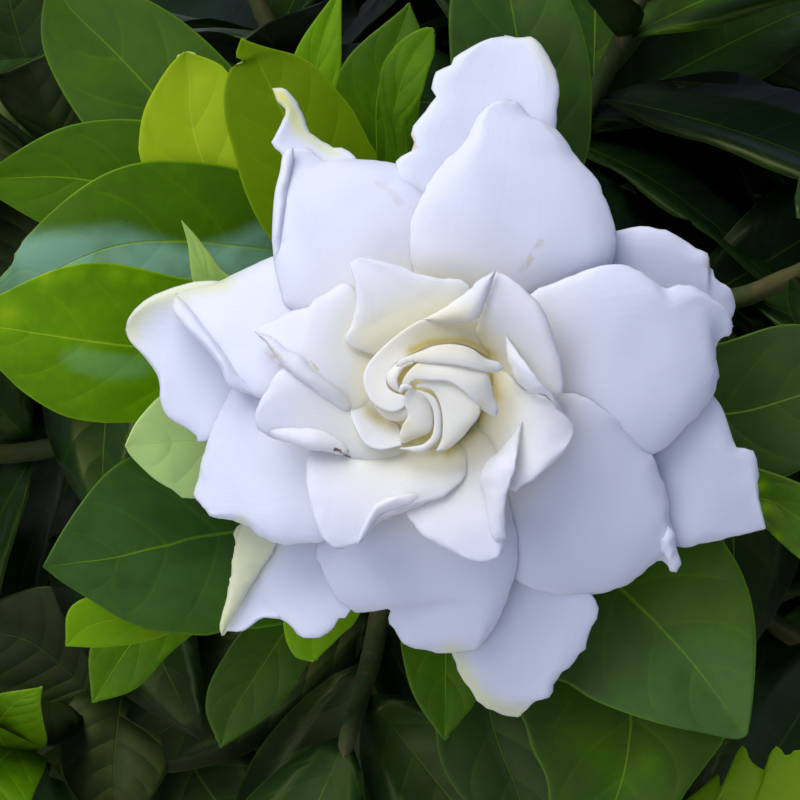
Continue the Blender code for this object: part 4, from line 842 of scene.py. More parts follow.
petal_finish, start, shader = new_finish(
    "petal", Roughness=0.55, Subsurface_Weight=0.25, Subsurface_Radius=(1.0, 0.9, 0.8),
    Subsurface_Scale=0.0016, Sheen_Weight=0.08, Sheen_Roughness=0.4, Specular_IOR_Level=0.25)
across, along = value_of(start, "across"), value_of(start, "along")
seen_x, seen_y = value_of(start, "seen_x"), value_of(start, "seen_y")
ribs = start.node("ShaderNodeCombineXYZ", None, {0: across * 16.0, 1: along * 1.2, 2: seen_x * 0.02})
rib_noise = ribs.noise(1.0, 2.0)
place = object_place(start)
pores = place.noise(1500.0, 1.0)
cloud = place.noise(900.0, 3.0)
# Cream: the petals' own tone towards the heart, mixed with painted light and painted depth shade.
ground = value_of(start, "cream").mix(WHITE, CREAM)
ground = value_of(start, "green").mix(ground, BUD_GREEN)
# Painted shade: olive yellow in the crevices and on the low floors.
ground = value_of(start, "olive").mix(ground, SHADE_OLIVE)
ground = (marks_mask(seen_x, seen_y, STAINS) * cloud.step(0.35, 0.6)).mix(ground, TAN)
ground = (marks_mask(seen_x, seen_y, SPECKS) * cloud.step(0.3, 0.5)).mix(ground, BROWN)
# Painted light: thin margins are painted a little paler, as light passing through them.
thin = 1.0 - value_of(start, "edge").step(0.1, 0.7)
ground = (thin * 0.3).mix(ground, colour(0.90, 0.91, 0.96))
plug(shader, Base_Color=ground, Normal=bumps(start, rib_noise * 0.12 + pores * 0.02, 0.001, 0.3))
print("petal finish ready")

# %% [markdown]
# ## Building the bloom
#
# Each whorl goes into one of two trays, so that no mesh grows too heavy. Under the heart lies a
# shallow floor that closes the gaps between the blades, and under the middle whorl a bowl, both
# painted the deep olive yellow of the shade seen between the petals. The tube behind the petals
# is turned round the bloom's axis and flares into the back whorl.

# %% Bloom
PETAL_THICKNESS = 0.45
PETAL_WAVE = 0.35
PETAL_FRAY = 0.30
TUBE_AXIS = (-1.5, -0.5)
TUBE_LEVELS = (-32.7, -28, -22, -16, -11, -7, -4, -2, -1)
TUBE_RADII = (2.9, 2.7, 2.6, 2.8, 3.0, 3.8, 5.2, 7.0, 8.0)
# The low value sets painted shade: floor and bowl carry the olive shade of the deep gaps.
HEART_FLOORS = (
    dict(name="heart floor", heights=(7, 10.2, 10.6, 7), cup=-3, rim=0.5, low=1.0,
         left=((-9.5, 0), (-8, -5), (-3, -8.3), (2, -7.5), (6, -3), (7.4, 1)),
         right=((-9.5, 0), (-8, 3.5), (-3, 5.2), (2, 5.4), (6, 4), (7.4, 1))),
    dict(name="bowl", heights=(8, 6.5, 6.5, 8), cup=2, rim=0.5, low=0.35,
         left=((-15, -1), (-12, -9), (-4, -13.5), (4, -12.5), (11, -7), (13.5, 1)),
         right=((-15, -1), (-12, 7), (-5, 11), (3, 11.5), (10, 8), (13.5, 1))),
)


def ring_faces(rings, sides):
    """Faces between rings of points that follow each other."""
    faces = []
    for i in range(rings - 1):
        for k in range(sides):
            a, b = i * sides + k, i * sides + (k + 1) % sides
            faces.append((a, b, b + sides, a + sides))
    return faces


def add_tube(tray, centres, radii, sides, mark=0, **values):
    """Adds a closed round tube through centres in metres, as rings of points."""
    centres = np.asarray(centres, dtype=float)
    ways = np.gradient(centres, axis=0)
    ways /= np.linalg.norm(ways, axis=1, keepdims=True)
    side = np.array(Vector(ways[0]).orthogonal().normalized())
    points = []
    for centre, way, radius in zip(centres, ways, radii):
        side = side - way * side.dot(way)
        side /= np.linalg.norm(side)
        other = np.cross(way, side)
        points += [centre + way_round(side, other, math.tau * k / sides) * radius for k in range(sides)]
    faces = ring_faces(len(centres), sides)
    faces.append(tuple(range(sides))[::-1])
    faces.append(tuple(len(points) - sides + k for k in range(sides)))
    full = {name: np.broadcast_to(value, len(points)) for name, value in values.items()}
    tray.add(points, faces, mark, **full)


def add_whorl(tray, whorl, rows, columns, **form):
    """Adds every petal of a whorl, with the words of form that they share."""
    for piece in whorl:
        add_sheet(tray, {**form, **piece}, rows, columns, PETAL_THICKNESS, petal_tint)


outer_tray = Tray()
add_whorl(outer_tray, BACK_PETALS, 44, 22, wave=PETAL_WAVE, fray=PETAL_FRAY)
add_whorl(outer_tray, OUTER_PETALS, 54, 28, wave=PETAL_WAVE, fray=PETAL_FRAY)
axis = [(*TUBE_AXIS, level) for level in TUBE_LEVELS]
add_tube(outer_tray, to_world(axis), np.array(TUBE_RADII) * MM, 28, green=0.35)
finish_piece("outer_petals", outer_tray.mesh("outer_petals", [petal_finish]), "petal", "bloom")

inner_tray = Tray()
add_whorl(inner_tray, HEART_FLOORS, 24, 24)
add_whorl(inner_tray, MIDDLE_PETALS, 44, 26, wave=PETAL_WAVE * 0.7, fray=PETAL_FRAY * 0.6, crevice=0.8)
add_whorl(inner_tray, HEART_BLADES, 40, 18)
finish_piece("inner_petals", inner_tray.mesh("inner_petals", [petal_finish]), "petal", "bloom")

# %% [markdown]
# ## Leaves near the bloom
#
# A gardenia leaf is leathery and glossy above, paler and matt below, with a light midrib, side
# veins that curve towards the tip, and a thin light margin. Young leaves are yellow green and old
# ones almost black green. The leaves round the bloom are seen one by one, so each is noted by its
# edges, as the petals are, with its age. Spots and highlights are paler patches on it: some are
# younger spots, some are painted highlights of gloss. Sky is a painted reflection: a band along a
# line where the glossy blade would mirror the sky.

# %% Outlines of the near leaves
NEAR_LEAVES = (
    dict(name="left bright", age=0.54, heights=(-43, -30, -20, -17), fold=1.0, sky=(0.2, 2.0), columns=41,
         sky_line=((-48, 3.4), (-44, 2.4), (-40.5, 2.4)),
         # The spots and highlights of this leaf are painted highlights along its upper margin.
         blotches=((-52, 14.2, 1.4, 0.9), (-48.5, 15, 1.3, 0.8), (-57, 9.3, 1.9, 0.8), (-43, 14.6, 1.2, 0.6),
                   (-39.5, 14.2, 1.0, 0.5)),
         left=((-2, -1), (-20, -4.5), (-35, -5.2), (-40, -5), (-45, -5), (-50, -4), (-55, -1), (-58, 1.8),
               (-62, 5), (-67, 9.5)),
         right=((-2, 1), (-15, 10), (-30, 13.5), (-35, 14.3), (-40, 15.5), (-45, 16.2), (-50, 15.5),
                (-55, 13.5), (-58, 12), (-63, 10.3), (-67, 9.5))),
    dict(name="upper left broad", age=0.36, heights=(-47, -38, -31, -33), fold=1.6, sky=(0.95, 5.6),
         rows=80, columns=55,
         sky_line=((-62, 14.6), (-53, 15.4), (-43, 16.2), (-38, 14.6), (-34, 13.2), (-30, 14),
                   (-25, 15.4), (-22, 17)),
         left=((-3, 0), (-25, 8), (-42, 8), (-58, 6), (-66, 10)),
         right=((-1, 2), (-12, 24), (-26.5, 28.5), (-35, 29.6), (-40, 29.3), (-45, 27.5), (-50, 24),
                (-55, 19), (-58, 14), (-66, 10))),
    dict(name="top left", age=0.54, olive=0.5, heights=(-43, -32, -23, -17), fold=1.0,
         left=((-3, 1), (-16, 10), (-22.2, 18.8), (-24.5, 22.5), (-26.3, 27), (-27.3, 31), (-28.3, 34.5),
               (-28.6, 38), (-28.2, 40.5), (-27.5, 42), (-25.7, 42.6), (-27, 43.4), (-26.3, 45.7)),
         right=((-1, 1), (-6, 16), (-8.2, 29.7), (-9.3, 32), (-10.5, 34.5), (-12, 37), (-14, 39.3),
                (-16, 41.6), (-17.5, 42.8), (-19.5, 43.7), (-23, 44.6), (-26.3, 45.7))),
    dict(name="top yellow", age=0.95, heights=(-49, -42, -36, -33), fold=1.5,
         left=((-3, 0), (-25, 12), (-36, 22), (-39.5, 29.5), (-39.7, 33), (-39, 36.5), (-37, 40.3),
               (-35, 43), (-33.5, 44)),
         right=((-1, 1), (-14, 16), (-22, 28), (-25.5, 36), (-28, 41.2), (-30, 42.8), (-33.5, 44))),
    dict(name="top narrow", age=0.46, heights=(-47, -36, -27, -22), fold=0.9,
         left=((-2, 1), (-7, 16), (-7.2, 32.5), (-7.8, 36), (-8, 39.5), (-7.7, 42), (-6.5, 44),
               (-4.5, 46), (-2, 47.2), (-0.8, 47)),
         right=((0, 1), (-1, 16), (-4.4, 33), (-4, 35), (-2.5, 38), (-1.5, 41.5), (-0.7, 44),
                (-0.8, 47))),
    dict(name="top dark", age=0.22, heights=(-43, -33, -26, -28), fold=1.5,
         left=((-2, 1), (1, 20), (1.5, 38), (1.5, 52), (7, 66)),
         right=((0, 1), (14, 18), (19.2, 29.5), (20, 36), (19.8, 42), (18, 49), (13, 58), (7, 66))),
    dict(name="left pale", age=0.72, pale=1.0, heights=(-43, -28, -19, -15), fold=0.7,
         left=((-3, -3), (-18, -14), (-32.8, -15), (-35, -14), (-37.5, -12.6), (-39.5, -10.8),
               (-41, -9.2), (-41.6, -8)),
         right=((-4, -1), (-18, -2), (-34, 0), (-37, -1.5), (-39, -3.5), (-40.5, -5.5), (-41.6, -8))),
    dict(name="left dark", age=0.28, heights=(-48, -37, -28, -23), fold=1.0, sky=(0.04, 14),
         sky_line=((-46, -22), (-30, -20)),
         left=((-2, -3), (-14, -28), (-29, -32.7), (-33, -33), (-38, -32.5), (-42, -31), (-46, -28.5),
               (-50, -26), (-52.5, -24)),
         right=((-3, -1), (-20, -5), (-36, -7.5), (-41, -9.5), (-44, -11.5), (-47, -15), (-50, -19.5),
                (-52.5, -24))),
    dict(name="left small", age=0.72, pale=0.5, heights=(-40, -26, -15, -12), fold=0.6,
         left=((-3, 0), (-16, 5), (-28, 9), (-32.3, 12.8), (-33.3, 18.5), (-34.2, 21.8)),
         right=((-2, 1), (-10, 9), (-22, 13), (-28, 14.5), (-30.5, 17.5), (-32.5, 20), (-34.2, 21.8))),
    dict(name="lower left bright", age=0.66, heights=(-53, -43, -36, -33), fold=1.0,
         left=((-2, -2), (-20, -26), (-36, -33), (-44, -34.6), (-49.5, -34.5)),
         right=((-3, -1), (-22, -18), (-40, -26), (-48.5, -29), (-49.5, -34.5))),
    dict(name="bottom small", age=0.62, heights=(-43, -32, -26, -24), fold=0.8,
         left=((-1, -3), (-6, -18), (-10.5, -30), (-13, -33), (-16.5, -36.4)),
         right=((-3, -2), (-14, -16), (-20, -29), (-20.5, -33), (-19, -36), (-16.5, -36.4))),
    dict(name="bottom narrow", age=0.40, heights=(-47, -37, -30, -27), fold=1.0,
         left=((0, -3), (7, -18), (7, -32), (5, -41), (3, -44), (0.5, -47)),
         right=((-2, -3), (-7, -18), (-5.5, -32), (-4.5, -38), (-3, -42), (0.5, -47))),
    dict(name="lower right dark", age=0.30, heights=(-43, -28, -20, -17), fold=1.0, sky=(0.06, 12),
         sky_line=((16, -38), (28, -42), (38, -44)),
         left=((0, -1), (18, -4), (34, -15), (37.5, -20.7), (39.5, -24), (41, -28), (41.7, -33),
               (41.5, -39), (41, -44), (40.5, -46.3)),
         right=((-1, -3), (1, -20), (11, -36), (17, -39.5), (20, -41.5), (25, -43.5), (30, -45),
                (35, -46), (39, -46.8), (40.5, -46.3))),
    dict(name="lower right broad", age=0.27, heights=(-48, -37, -29, -26), fold=1.2,
         blotches=((21.1, -48.5, 2.8, 0.55), (27.4, -49.6, 2.2, 0.5), (24, -52.5, 2.0, 0.4),
                   (17, -46, 2, 0.3)),
         left=((0, -2), (22, -14), (38, -30), (39, -42), (37.8, -46.3), (36, -49), (33, -53), (28, -60),
               (20, -66)),
         right=((-2, -3), (-1, -22), (6, -36), (10.8, -44), (12, -48), (14, -52), (15, -58), (20, -66))),
    dict(name="top left far", age=0.27, heights=(-60, -55, -51, -50), fold=1.5,
         left=((-3, -4), (-24, 12), (-42, 28), (-52, 43), (-52, 54)),
         right=((-2, -3), (-10, 18), (-24, 38), (-37, 50), (-52, 54))),
    dict(name="left olive far", age=0.36, heights=(-62, -56, -51, -48), fold=1.5,
         left=((-4, -4), (-24, 6), (-42, 16), (-54, 22), (-62, 27)),
         right=((-3, -3), (-16, 20), (-32, 33), (-48, 34.5), (-62, 27))),
    dict(name="top olive", age=0.60, heights=(-55, -48, -43, -41), fold=1.0,
         left=((-3, -2), (-12, 18), (-18.5, 34), (-19.5, 43), (-13, 53)),
         right=((-2, -1), (-7, 20), (-12.5, 36), (-13, 45), (-13, 53))),
    dict(name="top middle", age=0.40, heights=(-51, -44, -38, -35), fold=1.0,
         left=((-2, -1), (-9, 16), (-13.5, 32), (-13, 42), (-4, 50.5)),
         right=((-1, 0), (-4, 18), (-3, 34), (-2, 44), (-4, 50.5))),
    dict(name="right dark", age=0.20, heights=(-52, -44, -38, -36), fold=1.5,
         left=((0, -2), (18, 6), (34, 5), (48, 8), (64, 1)),
         right=((1, -4), (16, -9), (32, -12), (46, -12), (64, 1))),
    dict(name="lower right bitten", age=0.60, olive=0.3, heights=(-62, -52, -42, -36), fold=1.0, rows=110,
         left=((0, -4), (18, -32), (31, -54), (33.6, -54.8), (35.8, -52.4), (36.9, -51.1), (36.9, -52.9),
               (38.7, -53.8), (39.4, -51.8), (38.8, -49.4), (40.1, -47.5), (41.0, -49.6), (42.9, -50.8),
               (43.4, -48.9), (44.6, -47.6), (45.8, -49.1), (47.5, -48.2), (54, -51), (60, -60)),
         right=((-1, -5), (6, -34), (16, -54), (32, -68), (60, -60))),
    dict(name="right bright", age=0.27, heights=(-46, -35, -26, -22), fold=1.0,
         blotches=((42, -13.2, 1.2, 1.0), (42.9, -16.5, 1.1, 0.9), (44.6, -20.3, 1.1, 0.9),
                   (47.6, -23, 1.2, 0.8)),
         left=((1, -1), (20, -4), (34, -8.5), (41.5, -10.8), (48, -13.2), (56, -18), (62, -27)),
         right=((2, -3), (18, -13), (34, -17.5), (42, -18.6), (44, -20), (47.5, -23), (54, -27), (62, -27))),
    dict(name="bottom glossy", age=0.12, heights=(-57, -50, -45, -43), fold=1.2,
         left=((0, -5), (8, -24), (13, -40), (17, -52), (12, -63)),
         right=((-1, -6), (-3, -24), (-1, -40), (1, -52), (12, -63))),
    dict(name="lower left far", age=0.23, heights=(-60, -54, -50, -48), fold=1.0,
         left=((-1, -6), (-9, -22), (-17, -36), (-22, -43), (-29, -48)),
         right=((-3, -6), (-18, -22), (-28, -35), (-31, -42), (-29, -48))),
    dict(name="lower left low", age=0.40, heights=(-66, -60, -55, -53), fold=1.0,
         left=((-2, -7), (-20, -24), (-34, -34), (-40, -40), (-46, -42)),
         right=((-4, -6), (-26, -18), (-40, -27), (-46, -34), (-46, -42))),
)
print("near leaves:", len(NEAR_LEAVES))

# %% [markdown]
# ## The finish of the leaves
#
# One material serves every leaf. It reads the shares along and across the blade, so the midrib,
# the side veins and the margin follow each leaf's own form, and it reads the leaf's age and its
# underside. The veins are stripes in a slanted share: the further from the midrib, the nearer to
# the tip a vein has come. The same stripes bend the light as well, because the blade swells a
# little between its veins.

# %% Leaf finish
AGES = ((0.0, colour(0.004, 0.014, 0.005)), (0.2, colour(0.020, 0.060, 0.010)),
        (0.4, colour(0.052, 0.140, 0.001)), (0.6, colour(0.130, 0.300, 0.001)),
        (1.0, colour(0.340, 0.480, 0.010)))
VEIN_PAIRS = 9.0

leaf_finish, start, shader = new_finish("leaf", Specular_IOR_Level=0.35, Specular_Tint=colour(0.85, 1.0, 0.2),
                                        Coat_Roughness=0.25, Coat_IOR=1.35)
across, along = value_of(start, "across"), value_of(start, "along")
age, under, shade = value_of(start, "age"), value_of(start, "under"), value_of(start, "shade")
place = object_place(start)
blotch = place.noise(90.0, 3.0)
grain = place.noise(700.0, 2.0)
off = abs(across)
slant = (along - off * 0.10 - off * off * 0.07) * VEIN_PAIRS
saw = abs(slant.math("FRACT", slant) - 0.5) * 2.0
inside = (1.0 - off.step(0.70, 0.95)) * (1.0 - along.step(0.78, 0.95))
side_vein = saw.step(0.88, 0.99) * inside
quilt = saw * saw * inside
midrib = 1.0 - off.step(0.004, 0.034 - along * 0.018)
margin = off.step(0.96, 0.995)
leaf_age = age + (blotch - 0.5) * 0.26 + (grain - 0.5) * 0.10 + (shade - 0.5) * 0.08
skin = start.node("ShaderNodeValToRGB", {"stops": AGES}, {"Fac": leaf_age})
lighter = start.node("ShaderNodeValToRGB", {"stops": AGES}, {"Fac": leaf_age + 0.28})
pale_green = colour(0.50, 0.69, 0.25)
skin = value_of(start, "olive").mix(skin, colour(0.19, 0.27, 0.002))
# Painted reflection of the sky along each leaf's sky band.
skin = (value_of(start, "sky") * blotch.step(0.2, 0.55)).mix(skin, colour(0.20, 0.40, 0.28))
skin = (side_vein * 0.12).mix(skin, lighter)
skin = (midrib * 0.65).mix(skin, lighter)
skin = (margin * 0.50).mix(skin, lighter)
skin = (value_of(start, "pale") * 0.9).mix(skin, pale_green)
skin = (midrib * age * age * 0.4).mix(skin, colour(0.50, 0.68, 0.08))
skin = (under * (0.03 + age * age * 1.8)).mix(skin, pale_green)
swelling = 0.5 - quilt * 0.28 + grain * 0.06 - midrib * (1.0 - age) * 0.20
plug(shader, Base_Color=skin, Roughness=0.38 + blotch * 0.14 + under * 0.2,
     Coat_Weight=(1.0 - under) * (0.22 - age * 0.20), Normal=bumps(start, swelling, 0.0007, 0.55))
old_leaf_finish = leaf_finish.copy()
old_leaf_finish.name = "old leaf"
old_leaf_finish.node_tree.nodes["Principled BSDF"].inputs["Specular IOR Level"].default_value = 0.12
print("leaf finish ready")

# %% [markdown]
# ## Rules shared with the plain model
#
# The crown's shoots point in even directions from the trunk, each with four pairs of leaves drawn
# by a seeded rule. The same draws are replayed here, so every fine leaf lands on its plain one.
# The plain model left out leaves that would have touched a neighbour. Whether a drawn leaf was
# kept is read off the model: its points then lie on the node's surface.

# %% Crown rules
CROWN_RADII = (0.124, 0.124, 0.104)
FORK_HEIGHT = 0.154
SOIL_TOP = 0.119
SOIL_RISE = 0.004
TRUNK_RADIUS = 0.0075
TRUNK_DEPTH = 0.030
LIMB_RADIUS = 0.0042
BRANCH_RADIUS = 0.0024
BRANCH_END = 0.008
STEM_RADIUS = 0.0016
FIT_GAP = 0.0003
LIMBS = 6
LIMB_REACH = 0.030
LIMB_RISE = 0.038
SHOOTS = 23
SHOOT_START = 0.42
SHOOT_END = 0.80
HIGHEST_SHOOT = 0.97
LOWEST_SHOOT = -0.34
SHOOT_SAG = Vector((0.0, 0.0, -0.003))
BLOOM_PLACE = math.radians(27.0)
BUD_SHOOTS = (2, 9, 14)
BUD_CALYX = 0.008
BUD_LENGTH = 0.027
BUD_RADIUS = 0.0058
LEAF_LENGTH = (56.0, 74.0)
LEAF_WIDTH = 0.41
LEAF_FOLD = 0.22
LEAF_PAIRS = 4
FIRST_PAIR = 0.22
LAST_PAIR = 0.96
LEAF_TRIES = 6
LEAF_ARCH = (15.0, 50.0)
BLADE_SWELL = 0.9
BLADE_FULLNESS = 0.85
SEED = 11
ON_SURFACE = 0.0006


def shoot_ends():
    """Foot and tip of every shoot of the crown."""
    golden = math.pi * (3.0 - math.sqrt(5.0))
    pairs = []
    for k in range(SHOOTS):
        z = HIGHEST_SHOOT - (k + 0.5) * (HIGHEST_SHOOT - LOWEST_SHOOT) / SHOOTS
        ring = math.sqrt(max(0.0, 1.0 - z * z))
        way = Vector((ring * math.cos(k * golden), ring * math.sin(k * golden), z))
        if way.angle(Vector(FACE_H)) > BLOOM_PLACE:
            reach = Vector([w * r for w, r in zip(way, CROWN_RADII)])
            pairs.append((CROWN_CENTRE + reach * SHOOT_START, CROWN_CENTRE + reach * SHOOT_END))
    return pairs


def shoot_path(foot, tip):
    """Points of a shoot's stem, a little bowed."""
    return [foot, foot.lerp(tip, 0.5) + SHOOT_SAG, tip]


def on_stem(foot, tip, share):
    """The point at a share of a shoot's stem."""
    start, middle, end = shoot_path(foot, tip)
    return start.lerp(middle, 2.0 * share) if share < 0.5 else middle.lerp(end, 2.0 * share - 1.0)


def bent_row(leaf, share, half, fold, outs):
    """Points across a bent leaf at a share of its length, from -1 at its left to 1 at its right."""
    way, face, arch = leaf["way"], leaf["face"], leaf["arch"]
    turn = arch * share
    run, drop = leaf["size"] * math.sin(turn) / arch, leaf["size"] * (1.0 - math.cos(turn)) / arch
    normal, side = way_round(face, way, turn), leaf["side"]
    return [leaf["base"] + way * run - face * drop + side * half * out + normal * fold * half * abs(out)
            for out in outs]


def rule_points(leaf, shares=(0.25, 0.5, 0.75, 1.0)):
    """Points of a leaf by the plain model's rule: left, middle and right at these shares."""
    points = []
    for share in shares:
        swell = math.sin(math.pi * share ** BLADE_SWELL) ** BLADE_FULLNESS if share < 1.0 else 0.0
        points += bent_row(leaf, share, 0.5 * leaf["width"] * swell, LEAF_FOLD, (-1.0, 0.0, 1.0))
    return points


def new_leaf(base, way, side, length, **more):
    """The numbers of one leaf of the crown."""
    return dict(base=base, way=way, side=side, face=side.cross(way).normalized(), size=length,
                width=length * LEAF_WIDTH, **more)


def draw_leaf(draw, attempt, axis, across, turn, share, base):
    """One leaf drawn by the rule."""
    turn += draw.uniform(-0.25, 0.25) * (1 + attempt)
    spread = math.radians(74.0 - 34.0 * share + draw.uniform(-8.0, 8.0) * (1 + 0.5 * attempt))
    length = draw.uniform(*LEAF_LENGTH) * (1.0 - 0.12 * (share > 0.9)) * 0.94 ** attempt * MM
    arch = math.radians(draw.uniform(*LEAF_ARCH))
    side = way_round(across, axis.cross(across), turn)
    way = way_round(axis, side, spread).normalized()
    up = (axis * 0.9 + Vector((0.0, 0.0, 0.8))).normalized()
    if abs(way.dot(up)) > 0.92:
        up = axis
    flank = way.cross(up).normalized()
    return new_leaf(base + side * STEM_RADIUS * 0.5, way, flank, length, arch=arch, share=share)


def node_tree_of(name):
    """A search tree of a node's surface."""
    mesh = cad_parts[name].data
    return BVHTree.FromPolygons([v.co for v in mesh.vertices], [tuple(p.vertices) for p in mesh.polygons])


def crown_leaves():
    """Every leaf of the crown that the plain model kept."""
    draw = random.Random(SEED)
    kept = []
    for rank, (foot, tip) in enumerate(shoot_ends()):
        surface = node_tree_of(f"leafy_shoot_{rank + 1:02d}")
        axis = (tip - foot).normalized()
        across = axis.orthogonal().normalized()
        first_turn = draw.uniform(0.0, math.tau)
        for pair in range(LEAF_PAIRS):
            share = FIRST_PAIR + (LAST_PAIR - FIRST_PAIR) * pair / (LEAF_PAIRS - 1)
            base = on_stem(foot, tip, share)
            for half in range(2):
                turn = first_turn + pair * math.pi / 2 + half * math.pi
                for attempt in range(LEAF_TRIES):
                    leaf = draw_leaf(draw, attempt, axis, across, turn, share, base)
                    gaps = [surface.find_nearest(point)[3] for point in rule_points(leaf)]
                    if max(gaps) < ON_SURFACE:
                        kept.append(leaf)
                        break
    return kept


leaves = crown_leaves()
print("leaves of the crown:", len(leaves))

# %% [markdown]
# ## The crown's leaves, by Geometry Nodes
#
# Well over a hundred leaves differ only in a few numbers, which is what Geometry Nodes are good
# at. One flat leaf blade is instanced on a point for each leaf. The points carry the leaf's base,
# its three directions, its length, width and arch, and after the instances are realized a Set
# Position node bends each blade by its own numbers.

# %% Tree that bends the leaves
def new_nodes(name, sockets):
    """A geometry node tree with named inputs, and a wire for each."""
    tree = bpy.data.node_groups.new(name, "GeometryNodeTree")
    tree.interface.new_socket("Geometry", in_out="INPUT", socket_type="NodeSocketGeometry")
    for label, kind in sockets.items():
        tree.interface.new_socket(label, in_out="INPUT", socket_type="NodeSocket" + kind)
    tree.interface.new_socket("Geometry", in_out="OUTPUT", socket_type="NodeSocketGeometry")
    source = tree.nodes.new("NodeGroupInput")
    wires = {label: Wire(tree, source.outputs[label]) for label in ["Geometry", *sockets]}
    return tree, wires


def end_nodes(tree, geometry, finish):
    """Gives a geometry its finish and leads it out of its tree."""
    painted = geometry.node("GeometryNodeSetMaterial", None, {"Geometry": geometry, "Material": finish})
    drain = tree.nodes.new("NodeGroupOutput")
    tree.links.new(painted.socket, drain.inputs[0])
    return tree


def run_nodes(name, mesh, tree, values):
    """The plain mesh that a tree makes of a mesh, with these values of its inputs."""
    host = new_object(name, mesh)
    nodes = host.modifiers.new("nodes", "NODES")
    nodes.node_group = tree
    for item in tree.interface.items_tree:
        if item.in_out == "INPUT" and item.name in values:
            nodes[item.identifier] = values[item.name]
    graph = bpy.context.evaluated_depsgraph_get()
    made = bpy.data.meshes.new_from_object(host.evaluated_get(graph))
    made.name = name
    bpy.data.objects.remove(host)
    return made


def carried(start, name, kind="FLOAT"):
    """A value or vector that the geometry carries."""
    return start.node("GeometryNodeInputNamedAttribute", {"data_type": kind}, {"Name": name})


tree, given = new_nodes("bent leaves", {
    "Leaf": "Object", "Fold": "Float", "Swell": "Float", "Wave": "Float", "Thickness": "Float",
    "Finish": "Material"})
start = Wire(tree)
blade = start.node("GeometryNodeObjectInfo", None, {"Object": given["Leaf"]}, 4)
placed = start.node("GeometryNodeInstanceOnPoints", None, {"Points": given["Geometry"], "Instance": blade})
solid = start.node("GeometryNodeRealizeInstances", None, {"Geometry": placed})
share, reach = carried(start, "along"), carried(start, "reach")
bend, size, width = carried(start, "arch"), carried(start, "size"), carried(start, "width")
way, side, face = (carried(start, n, "FLOAT_VECTOR") for n in ("way", "side", "face"))
turn = bend * share
sine, cosine = turn.math("SINE", turn), turn.math("COSINE", turn)
middle = carried(start, "base", "FLOAT_VECTOR") + way * (size * sine / bend)
middle = middle - face * (size * (1.0 - cosine) / bend)
normal = face * cosine + way * sine
spread_out = abs(carried(start, "across"))
phase = share * 17.0 + size * 900.0
rise = abs(reach) * width * given["Fold"] + carried(start, "swell") * width * given["Swell"]
rise = rise + spread_out * spread_out * phase.math("SINE", phase) * given["Wave"]
rise = rise - carried(start, "depth") * given["Thickness"]
spot = middle + side * (reach * width) + normal * rise
moved = start.node("GeometryNodeSetPosition", None, {"Geometry": solid, "Position": spot})
leaf_nodes = end_nodes(tree, moved, given["Finish"])
print("leaf tree:", len(tree.nodes), "nodes")

# %% Crown leaves
UNIT_ROWS = 15
UNIT_COLUMNS = 5
OVERHANG = math.radians(60.0)


def unit_leaf():
    """One flat leaf blade of two nets that share their margin, with its shares as values."""
    along = np.linspace(0.0, 1.0, UNIT_ROWS)
    across = np.linspace(-1.0, 1.0, UNIT_COLUMNS)
    width = 0.5 * np.sin(math.pi * along ** BLADE_SWELL) ** BLADE_FULLNESS
    width[[0, -1]] = 0.0
    net = np.zeros((UNIT_ROWS, UNIT_COLUMNS, 3))
    net[..., 0] = width[:, None] * across
    net[..., 1] = along[:, None]
    edge = (1.0 - np.abs(across))[None, :] * width[:, None]
    points, tags = close_sheet(net, edge, 0.01)
    i, j, behind = tags.T
    points[:, 2] = -0.01 * behind
    faces = faces_outwards(points, net_faces(UNIT_ROWS, UNIT_COLUMNS))
    tray = Tray()
    off = np.abs(across[j])
    tray.add(points, faces, along=along[i], across=across[j], under=behind.astype(float),
             reach=width[i] * across[j], swell=width[i] * np.sin(math.pi * off),
             depth=behind * np.sqrt(1.0 - off ** 2))
    return new_object("leaf blade", tray.mesh("leaf blade", []))


def leaf_points(leaves):
    """A mesh of one point for each leaf, which carries the leaf's numbers."""
    mesh = bpy.data.meshes.new("leaf places")
    mesh.from_pydata([leaf["base"] for leaf in leaves], [], [])
    for name in ("base", "way", "side", "face", "size", "width", "arch", "age", "shade"):
        store_values(mesh, name, [leaf[name] for leaf in leaves])
    return mesh


blade = unit_leaf()
pick = random.Random(SEED + 1)
# Leaf tone: lighter higher in the crown and younger near a shoot's tip; leaves under the bloom are darkened
# as painted shade.
for leaf in leaves:
    outer = (leaf["base"].z - CROWN_CENTRE.z) / CROWN_RADII[2]
    middle = leaf["base"] + leaf["way"] * leaf["size"] * 0.5
    in_bloom_shade = (middle - CROWN_CENTRE).angle(Vector(FACE_H)) < OVERHANG
    leaf["age"] = (0.13 + 0.07 * outer + 0.08 * leaf["share"] ** 2 + pick.uniform(-0.05, 0.08)
                   - 0.13 * in_bloom_shade)
    leaf["shade"] = pick.random()
shape = {"Leaf": blade, "Fold": LEAF_FOLD, "Swell": 0.04, "Wave": 0.0005, "Thickness": 0.0005,
         "Finish": leaf_finish}
made = run_nodes("crown_leaves", leaf_points(leaves), leaf_nodes, shape)
made.shade_smooth()
shoot_names = [f"leafy_shoot_{rank + 1:02d}" for rank in range(len(shoot_ends()))]
finish_piece("crown_leaves", made, "leaf", *shoot_names)

# %% Old leaves inside the crown
INNER_ROUNDS = (0.02, 0.11, 0.20, 0.32)
INNER_LENGTH = (44.0, 64.0)
INNER_TRIES = 6
INNER_SPREAD = (40.0, 92.0)
INNER_ARCH = (15.0, 45.0)
# Inner leaves are near black: partly old age, partly painted shade deep in the crown.
INNER_AGE_AND_SHADE = 0.10
DEEPEST = 0.86
DEEPEST_IN_FRONT = 0.6
LOWEST_TIP = -0.080


def rough_tree(leaf):
    """A search tree of a leaf's rough form."""
    shares = (0.12, 0.3, 0.5, 0.7, 0.85, 1.0)
    quads = [(k, k + 1, k + 4, k + 3) for k in range(3 * len(shares) - 3) if k % 3 < 2]
    return BVHTree.FromPolygons(rule_points(leaf, shares), quads)


